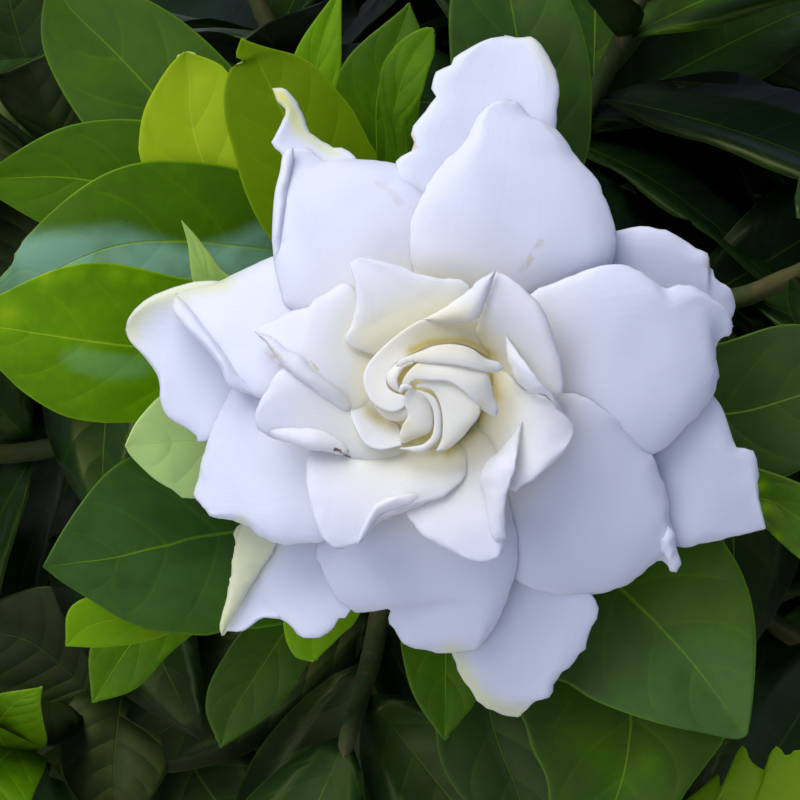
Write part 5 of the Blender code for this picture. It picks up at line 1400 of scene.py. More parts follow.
def inner_leaves(pick):
    """Old leaves at the feet of the shoots, which close the view into the crown, near black partly from age
    and partly as painted shade.
    """
    found, crown = [], [rough_tree(leaf) for leaf in leaves]
    for foot, tip in shoot_ends():
        axis = (tip - foot).normalized()
        across = axis.orthogonal().normalized()
        for share in INNER_ROUNDS:
            first_turn = pick.uniform(0.0, math.tau)
            for attempt in range(INNER_TRIES):
                turn = first_turn + attempt * math.tau / INNER_TRIES
                spread = math.radians(pick.uniform(*INNER_SPREAD))
                side = way_round(across, axis.cross(across), turn)
                way = way_round(axis, side, spread).normalized()
                length = pick.uniform(*INNER_LENGTH) * MM
                base = on_stem(foot, tip, share)
                end = base + way * length - CROWN_CENTRE
                depth = math.sqrt(sum((e / r) ** 2 for e, r in zip(end, CROWN_RADII)))
                aim = (base + way * length * 0.7 - CROWN_CENTRE).angle(Vector(FACE_H))
                in_front = aim < BLOOM_PLACE * 1.2 and depth > DEEPEST_IN_FRONT
                if depth > DEEPEST or end.z < LOWEST_TIP or in_front:
                    continue
                leaf = new_leaf(base, way, way.cross(axis).normalized(), length,
                                arch=math.radians(pick.uniform(*INNER_ARCH)),
                                age=pick.uniform(0.0, INNER_AGE_AND_SHADE), shade=pick.random())
                form = rough_tree(leaf)
                if not any(form.overlap(other) for other in crown):
                    found.append(leaf)
    return found


inner = inner_leaves(random.Random(SEED + 3))
print("old leaves inside:", len(inner))
made = run_nodes("inner_leaves", leaf_points(inner), leaf_nodes, {**shape, "Finish": old_leaf_finish})
made.shade_smooth()
finish_piece("inner_leaves", made, "leaf", *shoot_names)
bpy.data.objects.remove(blade)

# %% Near leaves
LEAF_SHEET = 0.5


def leaf_tint(piece, seen, heights):
    """Age and tones at the points of one leaf."""
    tones = {name: np.full(len(seen), piece.get(name, 0.0)) for name in ("age", "pale", "olive", "shade")}
    tones["sky"] = np.zeros(len(seen))
    # Painted reflection: a band of sky colour along the sky line, where the glossy blade would mirror the
    # sky.
    if "sky" in piece:
        strength, width = piece["sky"]
        gap = distance_to(seen, piece["sky_line"])
        tones["sky"] = strength * np.clip((width - gap) / (0.4 * width), 0.0, 1.0)
    # Spots and highlights: paler spots, some of them painted highlights of gloss.
    for x, y, width, strength in piece.get("blotches", ()):
        gap = (seen[:, 0] - x) ** 2 + (seen[:, 1] - y) ** 2
        tones["age"] += 0.3 * strength * np.exp(-gap / width ** 2)
    return tones


def add_leaf_sheet(tray, piece, rows, columns, shade):
    """Adds one outlined leaf to a tray."""
    add_sheet(tray, {"rim": 0.3, "bulge": 0.6, "shade": shade, **piece}, rows, columns, LEAF_SHEET, leaf_tint)


near_tray = Tray()
draw = random.Random(SEED + 2)
for piece in NEAR_LEAVES:
    shade = draw.random()
    add_leaf_sheet(near_tray, piece, piece.get("rows", 44), piece.get("columns", 21), shade)
finish_piece("near_leaves", near_tray.mesh("near_leaves", [leaf_finish]), "leaf", "flowering_shoot")

# %% [markdown]
# ## Leaves at the ends of shoots
#
# The photograph is filled with foliage into its corners, where the crown's drawn leaves leave
# gaps. A few leaves at the ends of shoots close them. They are outlined as the near leaves are,
# because each one has a known place to fill, and most are painted dark green as painted shade.

# %% Leaves at the ends of shoots
# Ages near 0 paint these leaves near black: painted shade.
END_LEAVES = (
    dict(name="bottom left up", age=0.48, olive=0.1, heights=(-82, -62, -55, -53), fold=0.5,
         left=((-54.8, -49.1), (-62, -48.5), (-65, -45), (-60, -41.3), (-52.4, -39.8)),
         right=((-54.8, -49.1), (-52, -47.5), (-52.4, -44.2), (-52.7, -41.8), (-52.4, -39.8))),
    dict(name="bottom left down", age=0.45, heights=(-80, -59, -53, -52), fold=0.6,
         left=((-54.8, -48.6), (-52.0, -49.5), (-53.4, -53.5), (-55.5, -58), (-60, -63)),
         right=((-54.8, -48.6), (-59, -45.5), (-65, -48), (-66, -56), (-60, -63))),
    dict(name="left corner", age=0.03, heights=(-93, -91, -90, -90), fold=0.8,
         left=((-59.3, 35.9), (-65, 30), (-65, 20), (-58, 12)),
         right=((-59.3, 35.9), (-54, 30), (-52, 20), (-58, 12))),
    dict(name="bottom left far", age=0.02, heights=(-92, -92, -92, -93), fold=0.8,
         left=((-46.4, -41.7), (-54, -42.5), (-61, -39), (-65, -31)),
         right=((-46.4, -41.7), (-45, -34), (-51, -26.5), (-65, -31))),
    dict(name="bottom left low", age=0.02, heights=(-97, -90, -86, -84), fold=0.8,
         left=((-41.4, -37.1), (-36, -42), (-36, -51), (-43, -61)),
         right=((-41.4, -37.1), (-49, -42), (-50, -51), (-43, -61))),
    dict(name="top left corner", age=0.06, heights=(-101, -98, -96, -95), fold=0.8,
         left=((-50, 30), (-57, 36), (-62, 45), (-62, 52), (-58, 58)),
         right=((-50, 30), (-47.5, 36), (-49, 46), (-52, 53), (-58, 58))),
    dict(name="top right corner", age=0.02, heights=(-137, -134, -132, -131), fold=0.8,
         left=((49, 30), (42.5, 36), (42, 44), (46, 52)),
         right=((49, 30), (54, 36), (54, 46), (46, 52))),
    dict(name="right corner", age=0.02, heights=(-137, -136, -135, -134), fold=0.8,
         left=((49, 30), (41, 28), (38, 22), (41, 12)),
         right=((49, 30), (53, 26), (50, 18), (41, 12))),
)
end_tray = Tray()
for piece in END_LEAVES:
    add_leaf_sheet(end_tray, piece, 30, 15, shade)
finish_piece("end_leaves", end_tray.mesh("end_leaves", [leaf_finish]), "leaf", *shoot_names)

# %% [markdown]
# ## Stems and wood, by Geometry Nodes
#
# Trunk, limbs, branches and young stems are all round wood along a path. Each path is a chain of
# edges whose points carry a radius. One tree turns the chains into curves, runs a circle along
# them at that radius, and moves the skin in and out by a noise, fine for a young stem and coarse
# for bark. Where the branch of a gardenia joins its limb, the wood simply swells into it.

# %% Tree that grows round wood
tree, given = new_nodes("round wood", {
    "Sides": "Int", "Spacing": "Float", "Lumps": "Float", "Lump Size": "Float", "Finish": "Material"})
start = Wire(tree)
line = start.node("GeometryNodeMeshToCurve", None, {"Mesh": given["Geometry"]})
line = start.node("GeometryNodeResampleCurve", {"mode": "LENGTH"},
                  {"Curve": line, "Length": given["Spacing"]})
ring = start.node("GeometryNodeCurvePrimitiveCircle", None, {"Resolution": given["Sides"], "Radius": 1.0})
skin = start.node("GeometryNodeCurveToMesh", None, {
    "Curve": line, "Profile Curve": ring, "Scale": carried(start, "radius_here"), "Fill Caps": True})
spot = start.node("GeometryNodeInputPosition")
lumps = spot.noise(given["Lump Size"], 3.0)
shift = start.node("GeometryNodeInputNormal") * ((lumps - 0.5) * given["Lumps"])
moved = start.node("GeometryNodeSetPosition", None, {"Geometry": skin, "Offset": shift})
joined = start.node("GeometryNodeRealizeInstances", None, {"Geometry": moved})
wood_nodes = end_nodes(tree, joined, given["Finish"])
print("wood tree:", len(tree.nodes), "nodes")


def chain_mesh(name, chains):
    """Chains of points with a radius each, as a mesh of edges."""
    points, edges, radii = [], [], []
    for path, sizes in chains:
        curve = smooth([tuple(p) for p in path], 6)
        shares = np.linspace(0.0, 1.0, len(curve))
        first = len(points)
        points += [tuple(p) for p in curve]
        radii += list(np.interp(shares, np.linspace(0.0, 1.0, len(sizes)), sizes))
        edges += [(first + k, first + k + 1) for k in range(len(curve) - 1)]
    mesh = bpy.data.meshes.new(name)
    mesh.from_pydata(points, edges, [])
    store_values(mesh, "radius_here", radii)
    return mesh


# %% [markdown]
# ## Bark and green stems
#
# Old gardenia wood is grey brown, with fine cracks along it and paler corky spots. Young stems are
# green with brown patches and flecks. Both are mixed from noise in the place of the surface.

# %% Wood finishes
bark_finish, start, shader = new_finish("bark", Specular_IOR_Level=0.25)
place = object_place(start)
stretched = start.node("ShaderNodeMapping", None, {"Vector": place, "Scale": (1.0, 1.0, 0.22)})
cracks = stretched.noise(900.0, 5.0, Roughness=0.6)
patches = place.noise(130.0, 3.0)
corky = start.node("ShaderNodeTexVoronoi", None, {"Vector": place, "Scale": 420.0})
spots = 1.0 - corky.step(0.12, 0.28)
wood_colour = patches.step(0.3, 0.7).mix(colour(0.13, 0.085, 0.05), colour(0.24, 0.19, 0.14))
wood_colour = cracks.step(0.62, 0.40).mix(wood_colour, colour(0.06, 0.04, 0.025))
wood_colour = (spots * 0.5).mix(wood_colour, colour(0.36, 0.30, 0.22))
plug(shader, Base_Color=wood_colour, Roughness=0.75 + patches * 0.2,
     Normal=bumps(start, cracks + spots * 0.3, 0.0008, 0.8))

stem_finish, start, shader = new_finish("green stem", Specular_IOR_Level=0.4)
place = object_place(start)
flecks = place.noise(500.0, 3.0)
patches = place.noise(60.0, 2.0)
stem_colour = patches.step(0.35, 0.65).mix(colour(0.05, 0.09, 0.02), colour(0.13, 0.12, 0.04))
stem_colour = (flecks.step(0.58, 0.72) * 0.6).mix(stem_colour, colour(0.20, 0.13, 0.06))
plug(shader, Base_Color=stem_colour, Roughness=0.45 + flecks * 0.25, Normal=bumps(start, flecks, 0.0004, 0.5))
print("wood finishes ready")


# %% Trunk, limbs, branches and stems
def flowering_path():
    """Points of the flowering shoot's stem, from the wood to the foot of the bloom's tube."""
    x, y = TUBE_AXIS
    spots = ((x + 1.0, y - 8.0, -72.0), (x, y - 3.0, -51.0), (x, y, -43.0), (x, y, -40.0), (x, y, -33.0))
    return [Vector(to_world(spot)) for spot in spots]


def limb_ends():
    """Ends of the main limbs: a ring of them, and a leader in the middle."""
    ends = []
    for k in range(LIMBS):
        angle = math.tau * (k + 0.3) / LIMBS
        x, y = LIMB_REACH * math.cos(angle), LIMB_REACH * math.sin(angle)
        ends.append(Vector((x, y, FORK_HEIGHT + LIMB_RISE)))
    ends.append(Vector((0.002, -0.003, FORK_HEIGHT + 1.4 * LIMB_RISE)))
    return ends


fork = Vector((0.001, 0.002, FORK_HEIGHT))
foot = Vector((0.0, 0.0, SOIL_TOP - TRUNK_DEPTH + FIT_GAP))
surface = Vector((0.0, 0.0, SOIL_TOP + SOIL_RISE))
bow = Vector((-0.002, 0.001, 0.35 * surface.z + 0.65 * FORK_HEIGHT))
chains = [((foot, foot.lerp(surface, 0.6), surface, bow, fork, fork + Vector((0.0, 0.0, 0.006))),
           [TRUNK_RADIUS * k for k in (0.96, 0.96, 0.98, 0.92, 0.86, 0.6)])]
for end in limb_ends():
    outward = Vector((end.x, end.y, 0.0)) * 0.18
    start_at = fork - Vector((0.0, 0.0, 0.008))
    path = [start_at.lerp(end, s) + outward * math.sin(math.pi * s) for s in (0.0, 0.33, 0.67, 1.0)]
    chains.append((path, [LIMB_RADIUS * k for k in (1.15, 1.0, 0.88, 0.84)]))
stems = [shoot_path(*ends) for ends in shoot_ends()] + [flowering_path()]
for stem in stems:
    grow = (stem[1] - stem[0]).normalized()
    limb = min(limb_ends(), key=lambda end: (end - stem[0]).length)
    chains.append(((limb, stem[0] - grow * BRANCH_END, stem[0]),
                   (LIMB_RADIUS * 0.8, BRANCH_RADIUS * 1.1, BRANCH_RADIUS * 0.85)))
made = run_nodes("trunk_and_branches", chain_mesh("wood lines", chains), wood_nodes,
                 {"Sides": 14, "Spacing": 0.0022, "Lumps": 0.0016, "Lump Size": 260.0, "Finish": bark_finish})
made.shade_smooth()
finish_piece("trunk_and_branches", made, "bark", "wood")


def bud_frame(foot, tip):
    """The way a bud points, and two ways across it."""
    way = ((tip - foot).normalized() + Vector((0.0, 0.0, 0.5))).normalized()
    side = way.orthogonal().normalized()
    return way, side, way.cross(side)


chains = []
for rank, (foot, tip) in enumerate(shoot_ends()):
    path = shoot_path(foot, tip)
    radii = [STEM_RADIUS * 1.15, STEM_RADIUS * 1.0, STEM_RADIUS * 0.8]
    if rank in BUD_SHOOTS:
        path = path + [tip + bud_frame(foot, tip)[0] * BUD_CALYX]
        radii = radii + [BUD_RADIUS * 0.42]
    else:
        grow = (tip - foot).normalized()
        path = path + [tip + grow * 0.0025, tip + grow * 0.0055]
        radii = radii + [STEM_RADIUS * 0.85, STEM_RADIUS * 0.1]
    chains.append((path, radii))
made = run_nodes("young_stems", chain_mesh("stem lines", chains), wood_nodes,
                 {"Sides": 10, "Spacing": 0.0025, "Lumps": 0.0005, "Lump Size": 420.0, "Finish": stem_finish})
made.shade_smooth()
finish_piece("young_stems", made, "leaf", *shoot_names)

# %% [markdown]
# ## Calyx and buds
#
# The green calyx grips the bloom's tube with ribs that run out into narrow lobes. A closed bud is
# the same petals still wound round each other: a pointed oval whose petal edges turn round it,
# white where it has begun to open and green at its foot.

# %% Calyx, its lobes and the flowering stem
LOBES = 6
LOBE_LENGTH = 0.015
LOBE_WIDTH = 0.0032
LOBE_SPREAD = math.radians(30)
LOBE_FOLD = 0.1
LOBE_ROWS = 12
LOBE_COLUMNS = 7


def add_blade(tray, base, way, up, length, width, arch, **values):
    """Adds one narrow leafy blade that leaves base along way, with its face towards up."""
    side = way.cross(up).normalized()
    leaf = dict(base=base, way=way, side=side, face=side.cross(way).normalized(), size=length, arch=arch)
    along = np.linspace(0.0, 1.0, LOBE_ROWS)
    across = np.sin(np.linspace(-1.0, 1.0, LOBE_COLUMNS) * math.pi / 2)
    half = 0.5 * width * np.sin(math.pi * along ** BLADE_SWELL) ** BLADE_FULLNESS
    half[[0, -1]] = 0.0
    net = np.array([bent_row(leaf, share, h, LOBE_FOLD, across) for share, h in zip(along, half)])
    edge = (1.0 - np.abs(across))[None, :] * half[:, None]
    points, tags = close_sheet(net, edge, 0.0005)
    faces = net_faces(LOBE_ROWS, LOBE_COLUMNS)
    a, b, c = (points[k] for k in faces[len(faces) // 4][:3])
    if np.dot(np.cross(b - a, c - a), np.array(leaf["face"])) < 0.0:
        faces = [face[::-1] for face in faces]
    i, j, behind = tags.T
    tray.add(points, faces, along=along[i], across=across[j], under=behind.astype(float),
             **{name: np.full(len(points), value) for name, value in values.items()})


calyx_tray = Tray()
path = smooth([tuple(p) for p in flowering_path()], 8)
path = at_shares(path, np.linspace(0.0, 1.0, 40))
stem_radii = (STEM_RADIUS * 1.25, STEM_RADIUS * 1.2, STEM_RADIUS * 1.3, 0.0029, 0.0036)
add_tube(calyx_tray, path, run_of(stem_radii, np.linspace(0, 1, 40)), 24, 1)
for k in range(LOBES):
    turn = math.tau * k / LOBES
    side = Vector(way_round(FACE_X, FACE_Y, turn))
    base = Vector(to_world((*TUBE_AXIS, -35.0))) + side * 0.0029
    lobe_way = way_round(Vector(FACE_H), side, LOBE_SPREAD).normalized()
    add_blade(calyx_tray, base, lobe_way, Vector(FACE_H) * 0.4 - side, LOBE_LENGTH, LOBE_WIDTH,
              LOBE_SPREAD, age=0.5, shade=0.5)
finish_piece("calyx_and_stem", calyx_tray.mesh("calyx_and_stem", [leaf_finish, stem_finish]), "leaf",
             "flowering_shoot")

# %% Buds
BUD_RINGS = 36
BUD_SIDES = 60
BUD_TWIST = math.radians(200.0)
BUD_EDGES = 5.0
BUD_LOBE_LENGTH = 0.013
BUD_LOBE_WIDTH = 0.0022

bud_finish, start, shader = new_finish("bud", Roughness=0.5, Subsurface_Weight=0.1,
                                       Subsurface_Radius=(1.0, 1.0, 0.7), Subsurface_Scale=0.001)
along = value_of(start, "along")
place = object_place(start)
cloud = place.noise(260.0, 3.0)
tone = (along + (cloud - 0.5) * 0.25).step(0.02, 0.75)
bud_colour = tone.mix(colour(0.28, 0.42, 0.10), colour(0.76, 0.80, 0.62))
bud_colour = (value_of(start, "groove") * 0.6).mix(bud_colour, colour(0.30, 0.42, 0.12))
plug(shader, Base_Color=bud_colour, Normal=bumps(start, cloud, 0.0004, 0.4))


def add_bud(tray, foot, tip):
    """Adds a closed bud of petal edges wound round each other."""
    way, side, other = bud_frame(foot, tip)
    start_at = tip + way * (BUD_CALYX + FIT_GAP)
    points, shares, grooves = [], [], []
    for i in range(BUD_RINGS):
        share = i / BUD_RINGS
        swell = 0.42 + 0.58 * math.sin(math.pi * min(1.0, share * 1.05) ** 0.9)
        radius = BUD_RADIUS * swell * (1.0 - share ** 3)
        for j in range(BUD_SIDES):
            turn = math.tau * j / BUD_SIDES + BUD_TWIST * share * share
            saw = (BUD_EDGES * j / BUD_SIDES) % 1.0
            reach = radius * (1.0 + (0.16 * (1.0 - saw) ** 1.5 - 0.08) * min(1.0, 3 * share))
            points.append(start_at + way * BUD_LENGTH * share + way_round(side, other, turn) * reach)
            shares.append(share)
            grooves.append(max(0.0, saw - 0.75) * 4.0)
    points.append(start_at + way * BUD_LENGTH)
    shares.append(1.0)
    grooves.append(0.0)
    top = len(points) - 1
    faces = ring_faces(BUD_RINGS, BUD_SIDES)
    last = (BUD_RINGS - 1) * BUD_SIDES
    faces += [(last + j, last + (j + 1) % BUD_SIDES, top) for j in range(BUD_SIDES)]
    faces.append(tuple(range(BUD_SIDES))[::-1])
    tray.add(points, faces, along=shares, groove=grooves)


ends = shoot_ends()
bud_tray, lobe_tray = Tray(), Tray()
for rank in BUD_SHOOTS:
    foot, tip = ends[rank]
    add_bud(bud_tray, foot, tip)
    way, side, other = bud_frame(foot, tip)
    for k in range(LOBES):
        outward = way_round(side, other, math.tau * k / LOBES)
        base = tip + way * (BUD_CALYX - 0.002) + outward * BUD_RADIUS * 0.3
        add_blade(lobe_tray, base, (way * 0.93 + outward * 0.36).normalized(), way * 0.3 - outward,
                  BUD_LOBE_LENGTH, BUD_LOBE_WIDTH, math.radians(-25.0), age=0.45, shade=0.5)
finish_piece("buds", bud_tray.mesh("buds", [bud_finish]), "bud", "bud_1", "bud_2", "bud_3")
finish_piece("bud_calyx_lobes", lobe_tray.mesh("bud_calyx_lobes", [leaf_finish]), "leaf")

# %% [markdown]
# ## Soil
#
# Potting soil is dark, crumbly and never level. Its top is displaced by noise, and bits of bark
# and white perlite lie on it. Those bits repeat hundreds of times, so a tree scatters them over
# the top faces with a fixed seed, turns and scales each one, and realizes them.

# %% Soil body
POT_HEIGHT = 0.135
POT_BASE_RADIUS = 0.049
POT_RIM_RADIUS = 0.077
POT_BAND_HEIGHT = 0.031
POT_BAND_STEP = 0.004
POT_WALL = 0.006
POT_FLOOR = 0.009


def pot_radius(height):
    """Outer radius of the pot's tapered wall, without the rim band."""
    return POT_BASE_RADIUS + (POT_RIM_RADIUS - POT_BAND_STEP - POT_BASE_RADIUS) * height / POT_HEIGHT


def add_turned(tray, profile, steps, ripple=None):
    """Adds a closed solid turned about the upright axis from (radius, height) points."""
    points, faces, first = [], [], {}
    for i, (radius, height) in enumerate(profile):
        first[i] = len(points)
        if radius < 1e-6:
            points.append(Vector((0.0, 0.0, height)))
            continue
        for k in range(steps):
            turn = math.tau * k / steps
            spot = Vector((radius * math.cos(turn), radius * math.sin(turn), height))
            points.append(ripple(spot, i) if ripple else spot)
    for i in range(len(profile) - 1):
        low, high = first[i], first[i + 1]
        single_low, single_high = profile[i][0] < 1e-6, profile[i + 1][0] < 1e-6
        for k in range(steps):
            n = (k + 1) % steps
            if single_low:
                faces.append((low, high + k, high + n))
            elif single_high:
                faces.append((low + k, high, low + n))
            else:
                faces.append((low + k, high + k, high + n, low + n))
    tray.add(points, faces)


def soil_wall(height):
    """Radius of the soil where it meets the pot's wall."""
    return pot_radius(height) - POT_WALL - 2 * FIT_GAP


hole = TRUNK_RADIUS + FIT_GAP
brim = soil_wall(SOIL_TOP)
crest = smooth(((hole, SOIL_TOP + 0.7 * SOIL_RISE), (0.3 * brim, SOIL_TOP + SOIL_RISE * 0.9),
                (0.5 * brim, SOIL_TOP + 0.3 * SOIL_RISE), (0.75 * brim, SOIL_TOP + 0.4 * SOIL_RISE),
                (0.92 * brim, SOIL_TOP - 0.3 * SOIL_RISE), (brim - 0.0004, SOIL_TOP - SOIL_RISE)), 9)
foot_level = POT_FLOOR + FIT_GAP
profile = [(0.0, SOIL_TOP - TRUNK_DEPTH), (hole, SOIL_TOP - TRUNK_DEPTH)] + [tuple(p) for p in crest]
profile += [(soil_wall(0.07), 0.07), (soil_wall(foot_level), foot_level), (0.0, foot_level)]


def crumble(spot, i):
    """A point of the soil's top, moved up or down by noise."""
    if not 2 < i < 2 + len(crest) - 2:
        return spot
    rough = noise.fractal(spot * 160.0, 0.7, 2.0, 4)
    return spot + Vector((0.0, 0.0, 0.0011 * rough))


soil_finish, start, shader = new_finish("soil", Roughness=0.95, Specular_IOR_Level=0.15)
place = object_place(start)
grit = place.noise(900.0, 6.0, Roughness=0.7)
damp = place.noise(60.0, 3.0)
earth = grit.step(0.35, 0.68).mix(colour(0.012, 0.008, 0.005), colour(0.065, 0.042, 0.026))
earth = (damp.step(0.4, 0.65) * 0.5).mix(earth, colour(0.035, 0.022, 0.014))
plug(shader, Base_Color=earth, Normal=bumps(start, grit, 0.0015, 1.0))
soil_tray = Tray()
add_turned(soil_tray, profile, 144, crumble)
soil_mesh = soil_tray.mesh("potting_soil", [soil_finish])


def tidy_normals(mesh):
    """Points all faces of a closed mesh outwards."""
    net = bmesh.new()
    net.from_mesh(mesh)
    bmesh.ops.remove_doubles(net, verts=net.verts, dist=1e-6)
    bmesh.ops.recalc_face_normals(net, faces=net.faces)
    net.to_mesh(mesh)
    net.free()
    mesh.shade_smooth()
    return mesh


finish_piece("potting_soil", tidy_normals(soil_mesh), "soil", "soil")

# %% Bits on the soil
tree, given = new_nodes("scattered bits", {"Bit": "Object", "Density": "Float", "Smallest": "Float",
                                           "Largest": "Float", "Lowest": "Float", "Reach": "Float",
                                           "Seed": "Int", "Finish": "Material"})
start = Wire(tree)
spot = start.node("GeometryNodeInputPosition")
height = start.node("ShaderNodeSeparateXYZ", None, {0: spot}, 2)
flat = start.node("ShaderNodeVectorMath", {"operation": "MULTIPLY"}, {0: spot, 1: (1.0, 1.0, 0.0)})
ring = flat.vector("LENGTH", flat)
on_top = height.math("GREATER_THAN", height, given["Lowest"]) * ring.math("LESS_THAN", ring, given["Reach"])
places = start.node("GeometryNodeDistributePointsOnFaces", None,
                    {"Mesh": given["Geometry"], "Selection": on_top, "Density": given["Density"],
                     "Seed": given["Seed"]})
bit = start.node("GeometryNodeObjectInfo", None, {"Object": given["Bit"]}, 4)
spin = start.node("FunctionNodeRandomValue", {"data_type": "FLOAT_VECTOR"},
                  {0: (0.0, 0.0, 0.0), 1: (0.7, 0.7, math.tau), "Seed": given["Seed"]})
spin = start.node("FunctionNodeEulerToRotation", None, {0: spin})
scale = start.node("FunctionNodeRandomValue", {"data_type": "FLOAT"},
                   {2: given["Smallest"], 3: given["Largest"], "Seed": given["Seed"] + 1.0}, 1)
bits = start.node("GeometryNodeInstanceOnPoints", None, {"Points": places, "Instance": bit, "Rotation": spin,
                                                         "Scale": scale})
solid = start.node("GeometryNodeRealizeInstances", None, {"Geometry": bits})
bit_nodes = end_nodes(tree, solid, given["Finish"])


def bit_object(name, stretch, rough, seed):
    """A small rough lump of unit size, of few faces."""
    net = bmesh.new()
    bmesh.ops.create_icosphere(net, subdivisions=1, radius=0.5)
    shake = random.Random(seed)
    for vert in net.verts:
        vert.co = Vector([c * s * shake.uniform(1.0 - rough, 1.0 + rough) for c, s in zip(vert.co, stretch)])
    mesh = bpy.data.meshes.new(name)
    net.to_mesh(mesh)
    net.free()
    return new_object(name, mesh)


chip_finish, start, shader = new_finish("bark chip", Roughness=0.9, Specular_IOR_Level=0.2)
place = object_place(start)
fibre = place.noise(500.0, 4.0)
tone = place.noise(120.0, 1.0)
chip_colour = tone.step(0.35, 0.65).mix(colour(0.045, 0.024, 0.012), colour(0.15, 0.085, 0.045))
chip_colour = (fibre.step(0.5, 0.7) * 0.6).mix(chip_colour, colour(0.02, 0.012, 0.008))
plug(shader, Base_Color=chip_colour, Normal=bumps(start, fibre, 0.0008, 0.9))
perlite_finish, start, shader = new_finish("perlite", Roughness=0.85)
place = object_place(start)
pits = place.noise(1400.0, 3.0)
plug(shader, Base_Color=pits.step(0.3, 0.6).mix(colour(0.42, 0.40, 0.36), colour(0.72, 0.71, 0.67)),
     Normal=bumps(start, pits, 0.0006, 0.8))

top_level = SOIL_TOP - 0.6 * SOIL_RISE
for name, stretch, rough, density, sizes, finish, seed in (
        ("bark_chips", (1.0, 0.5, 0.22), 0.25, 52000.0, (0.003, 0.0085), chip_finish, 5),
        ("fine_crumbs", (1.0, 0.8, 0.6), 0.3, 90000.0, (0.0008, 0.0024), soil_finish, 7),
        ("perlite_grains", (1.0, 0.85, 0.8), 0.2, 9000.0, (0.0012, 0.0030), perlite_finish, 9)):
    lump = bit_object(name + " shape", stretch, rough, seed)
    made = run_nodes(name, soil_mesh.copy(), bit_nodes,
                     {"Bit": lump, "Density": density, "Smallest": sizes[0], "Largest": sizes[1],
                      "Lowest": top_level, "Reach": brim - 0.004, "Seed": seed, "Finish": finish})
    finish_piece(name, made, "soil")
    bpy.data.objects.remove(lump)

# %% [markdown]
# ## The pot
#
# The photograph shows no pot, so the shrub gets a plain one: turned clay with a rim band and
# drain holes. Fired clay is matt and slightly uneven in colour, darker where it holds water near
# its foot, with a chalky bloom where salts dry on it, and faint rings from the turning. Its wall
# is turned from a rounded profile, and the drain holes are cut by a Boolean, which is the surest
# way to a clean closed wall.

# %% Clay finish and pot
POT_ROUNDING = 0.0018
DRAIN_HOLES = 3
DRAIN_RADIUS = 0.006
DRAIN_RING = 0.026
GROOVE = 0.001

clay_finish, start, shader = new_finish("fired clay", Specular_IOR_Level=0.25)
place = object_place(start)
height = start.node("ShaderNodeSeparateXYZ", None, {0: place}, 2)
cloud = place.noise(22.0, 5.0, Roughness=0.6)
grit = place.noise(1100.0, 4.0)
rings = start.node("ShaderNodeMapping", None, {"Vector": place, "Scale": (6.0, 6.0, 900.0)})
rings = rings.noise(1.0, 2.0)
pits = start.node("ShaderNodeTexVoronoi", None, {"Vector": place, "Scale": 620.0})
clay = cloud.step(0.32, 0.70).mix(colour(0.42, 0.155, 0.075), colour(0.56, 0.25, 0.135))
clay = ((1.0 - height.step(0.0, 0.045)) * cloud.step(0.30, 0.62) * 0.55).mix(clay, colour(0.27, 0.105, 0.055))
salts = (cloud.step(0.50, 0.66) * height.step(0.085, 0.128) * grit.step(0.40, 0.62)) * 0.50
clay = salts.mix(clay, colour(0.66, 0.50, 0.40))
clay = (grit.step(0.60, 0.75) * 0.25).mix(clay, colour(0.30, 0.12, 0.06))
relief = rings * 0.35 + grit * 0.25 - (1.0 - pits.step(0.05, 0.18)) * 0.4
plug(shader, Base_Color=clay, Roughness=0.80 + cloud * 0.15, Normal=bumps(start, relief, 0.0006, 0.7))

band_foot = POT_HEIGHT - POT_BAND_HEIGHT
inner_rim = pot_radius(POT_HEIGHT) - POT_WALL
inner_foot = pot_radius(POT_FLOOR) - POT_WALL


def arc(centre, radius, first, last, count=6):
    """Points of an arc in the profile's plane, between two angles in degrees."""
    turns = np.radians(np.linspace(first, last, count))
    return [(centre[0] + radius * math.cos(t), centre[1] + radius * math.sin(t)) for t in turns]


def line(start_at, end, count):
    """Evenly spaced points of a straight run of the profile, without its ends."""
    return [(start_at[0] + (end[0] - start_at[0]) * k / (count + 1),
             start_at[1] + (end[1] - start_at[1]) * k / (count + 1)) for k in range(1, count + 1)]


r = POT_ROUNDING
profile = [(0.0, POT_FLOOR)] + line((0.0, POT_FLOOR), (inner_foot, POT_FLOOR), 6)
profile += [(inner_foot - r, POT_FLOOR), (inner_foot - 0.3 * r, POT_FLOOR + 0.3 * r)]
profile += line((inner_foot, POT_FLOOR + r), (inner_rim, POT_HEIGHT - r), 14)
profile += arc((inner_rim + r, POT_HEIGHT - r), r, 180, 90)
profile += arc((POT_RIM_RADIUS - r, POT_HEIGHT - r), r, 90, 0)
band_edge = pot_radius(band_foot) + POT_BAND_STEP
profile += line((POT_RIM_RADIUS, POT_HEIGHT - r), (band_edge, band_foot + r), 4)
profile += arc((band_edge - r, band_foot + r), r, 0, -90)
groove_foot = (pot_radius(band_foot - GROOVE), band_foot - GROOVE)
profile += [(pot_radius(band_foot) + 0.0006, band_foot), groove_foot]
profile += line(groove_foot, (pot_radius(r), r), 14)
profile += arc((POT_BASE_RADIUS - r, r), r, 0, -90)
profile += line((POT_BASE_RADIUS - r, 0.0), (0.0, 0.0), 6) + [(0.0, 0.0)]
pot_tray = Tray()
add_turned(pot_tray, profile, 160)
pot = new_object("pot wall", tidy_normals(pot_tray.mesh("clay_pot", [clay_finish])))
cutters = []
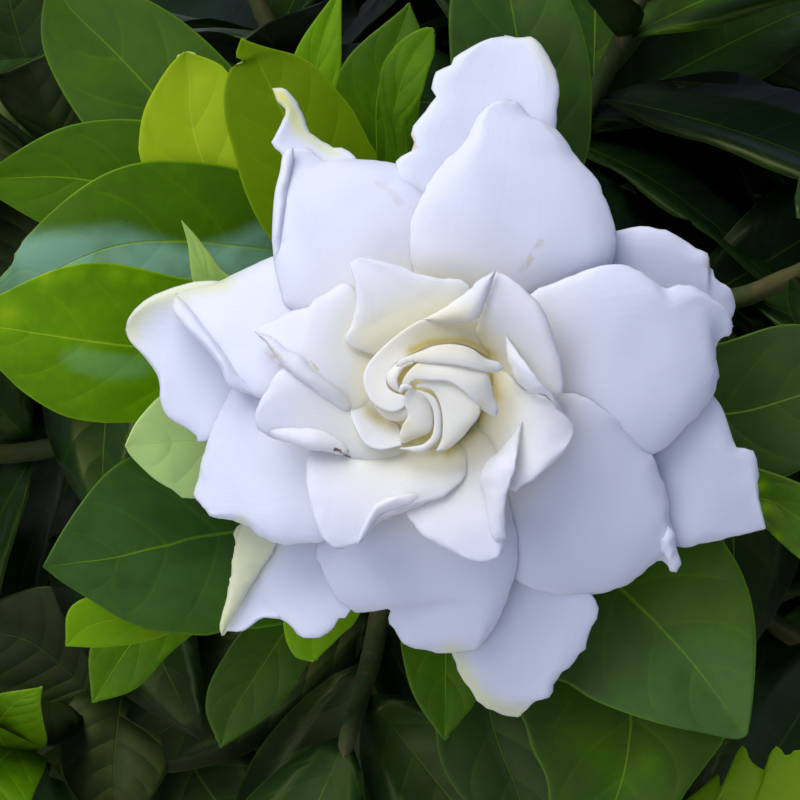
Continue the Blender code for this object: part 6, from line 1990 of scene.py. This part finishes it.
for k in range(DRAIN_HOLES):
    angle = math.tau * (k + 0.5) / DRAIN_HOLES
    cut_tray = Tray()
    spot = Vector((DRAIN_RING * math.cos(angle), DRAIN_RING * math.sin(angle), 0.0))
    add_tube(cut_tray, [spot + Vector((0, 0, z)) for z in (-0.01, 0.005, 0.02)], [DRAIN_RADIUS] * 3, 40)
    cutter = new_object("drain cutter", tidy_normals(cut_tray.mesh("drain cutter", [clay_finish])))
    cutters.append(cutter)
    cut = pot.modifiers.new("drain", "BOOLEAN")
    cut.operation, cut.object, cut.solver = "DIFFERENCE", cutter, "EXACT"
made = bpy.data.meshes.new_from_object(pot.evaluated_get(bpy.context.evaluated_depsgraph_get()))
made.name = "clay_pot"
for helper in [pot] + cutters:
    bpy.data.objects.remove(helper)
finish_piece("clay_pot", made, "clay", "pot")

# %% [markdown]
# ## Floor and light
#
# The shrub stands on a plain pale floor in a studio. The bloom in the photograph is lit by an
# open sky from above and a little from the left, so a broad soft light hangs there, with a weaker
# cool one in front. A dim cool surrounding fills the shade between the petals with blue grey, as
# the sky does. The floor is painted paler and warmer with distance: painted light that makes up
# for the lamps' light falling off and for the blue it would take on.

# %% Floor, lights and surroundings
floor_finish, start, shader = new_finish("floor", Roughness=0.7)
place = object_place(start)
cloud = place.noise(3.0, 2.0)
far = place.vector("LENGTH", place)
near_tone = cloud.mix(colour(0.67, 0.66, 0.63), colour(0.71, 0.70, 0.67))
# Painted light: the floor turns paler and warmer with distance, against the lamps' falloff and the blue
# surroundings.
plug(shader, Base_Color=far.step(0.5, 3.5).mix(near_tone, colour(0.97, 0.90, 0.76)))
FLOOR_HALF = 6.0
floor_tray = Tray()
corners = ((-1, -1), (1, -1), (1, 1), (-1, 1))
floor_tray.add([(x * FLOOR_HALF, y * FLOOR_HALF, 0.0) for x, y in corners], [(0, 1, 2, 3)])
floor = new_object("floor", floor_tray.mesh("floor", [floor_finish]))


def soft_light(name, place, size, power, tint):
    """A square soft light that looks at the crown."""
    lamp = bpy.data.lights.new(name, "AREA")
    lamp.size, lamp.energy, lamp.color = size, power, tint
    light = new_object(name, lamp)
    light.location = place
    light.rotation_euler = (CROWN_CENTRE - Vector(place)).to_track_quat("-Z", "Y").to_euler()


soft_light("sky", (-0.46, -0.14, 1.48), 1.0, 14.8, (1.0, 0.985, 0.95))
soft_light("fill", (-0.6, -1.3, 1.0), 1.2, 7.0, (0.82, 0.87, 1.0))
world = bpy.data.worlds.new("studio")
world.use_nodes = True
surroundings = world.node_tree.nodes["Background"].inputs
surroundings["Color"].default_value = colour(0.54, 0.64, 1.0)
surroundings["Strength"].default_value = 0.29
SCENE.world = world
SCENE.view_settings.view_transform = "Standard"
print("lights ready")
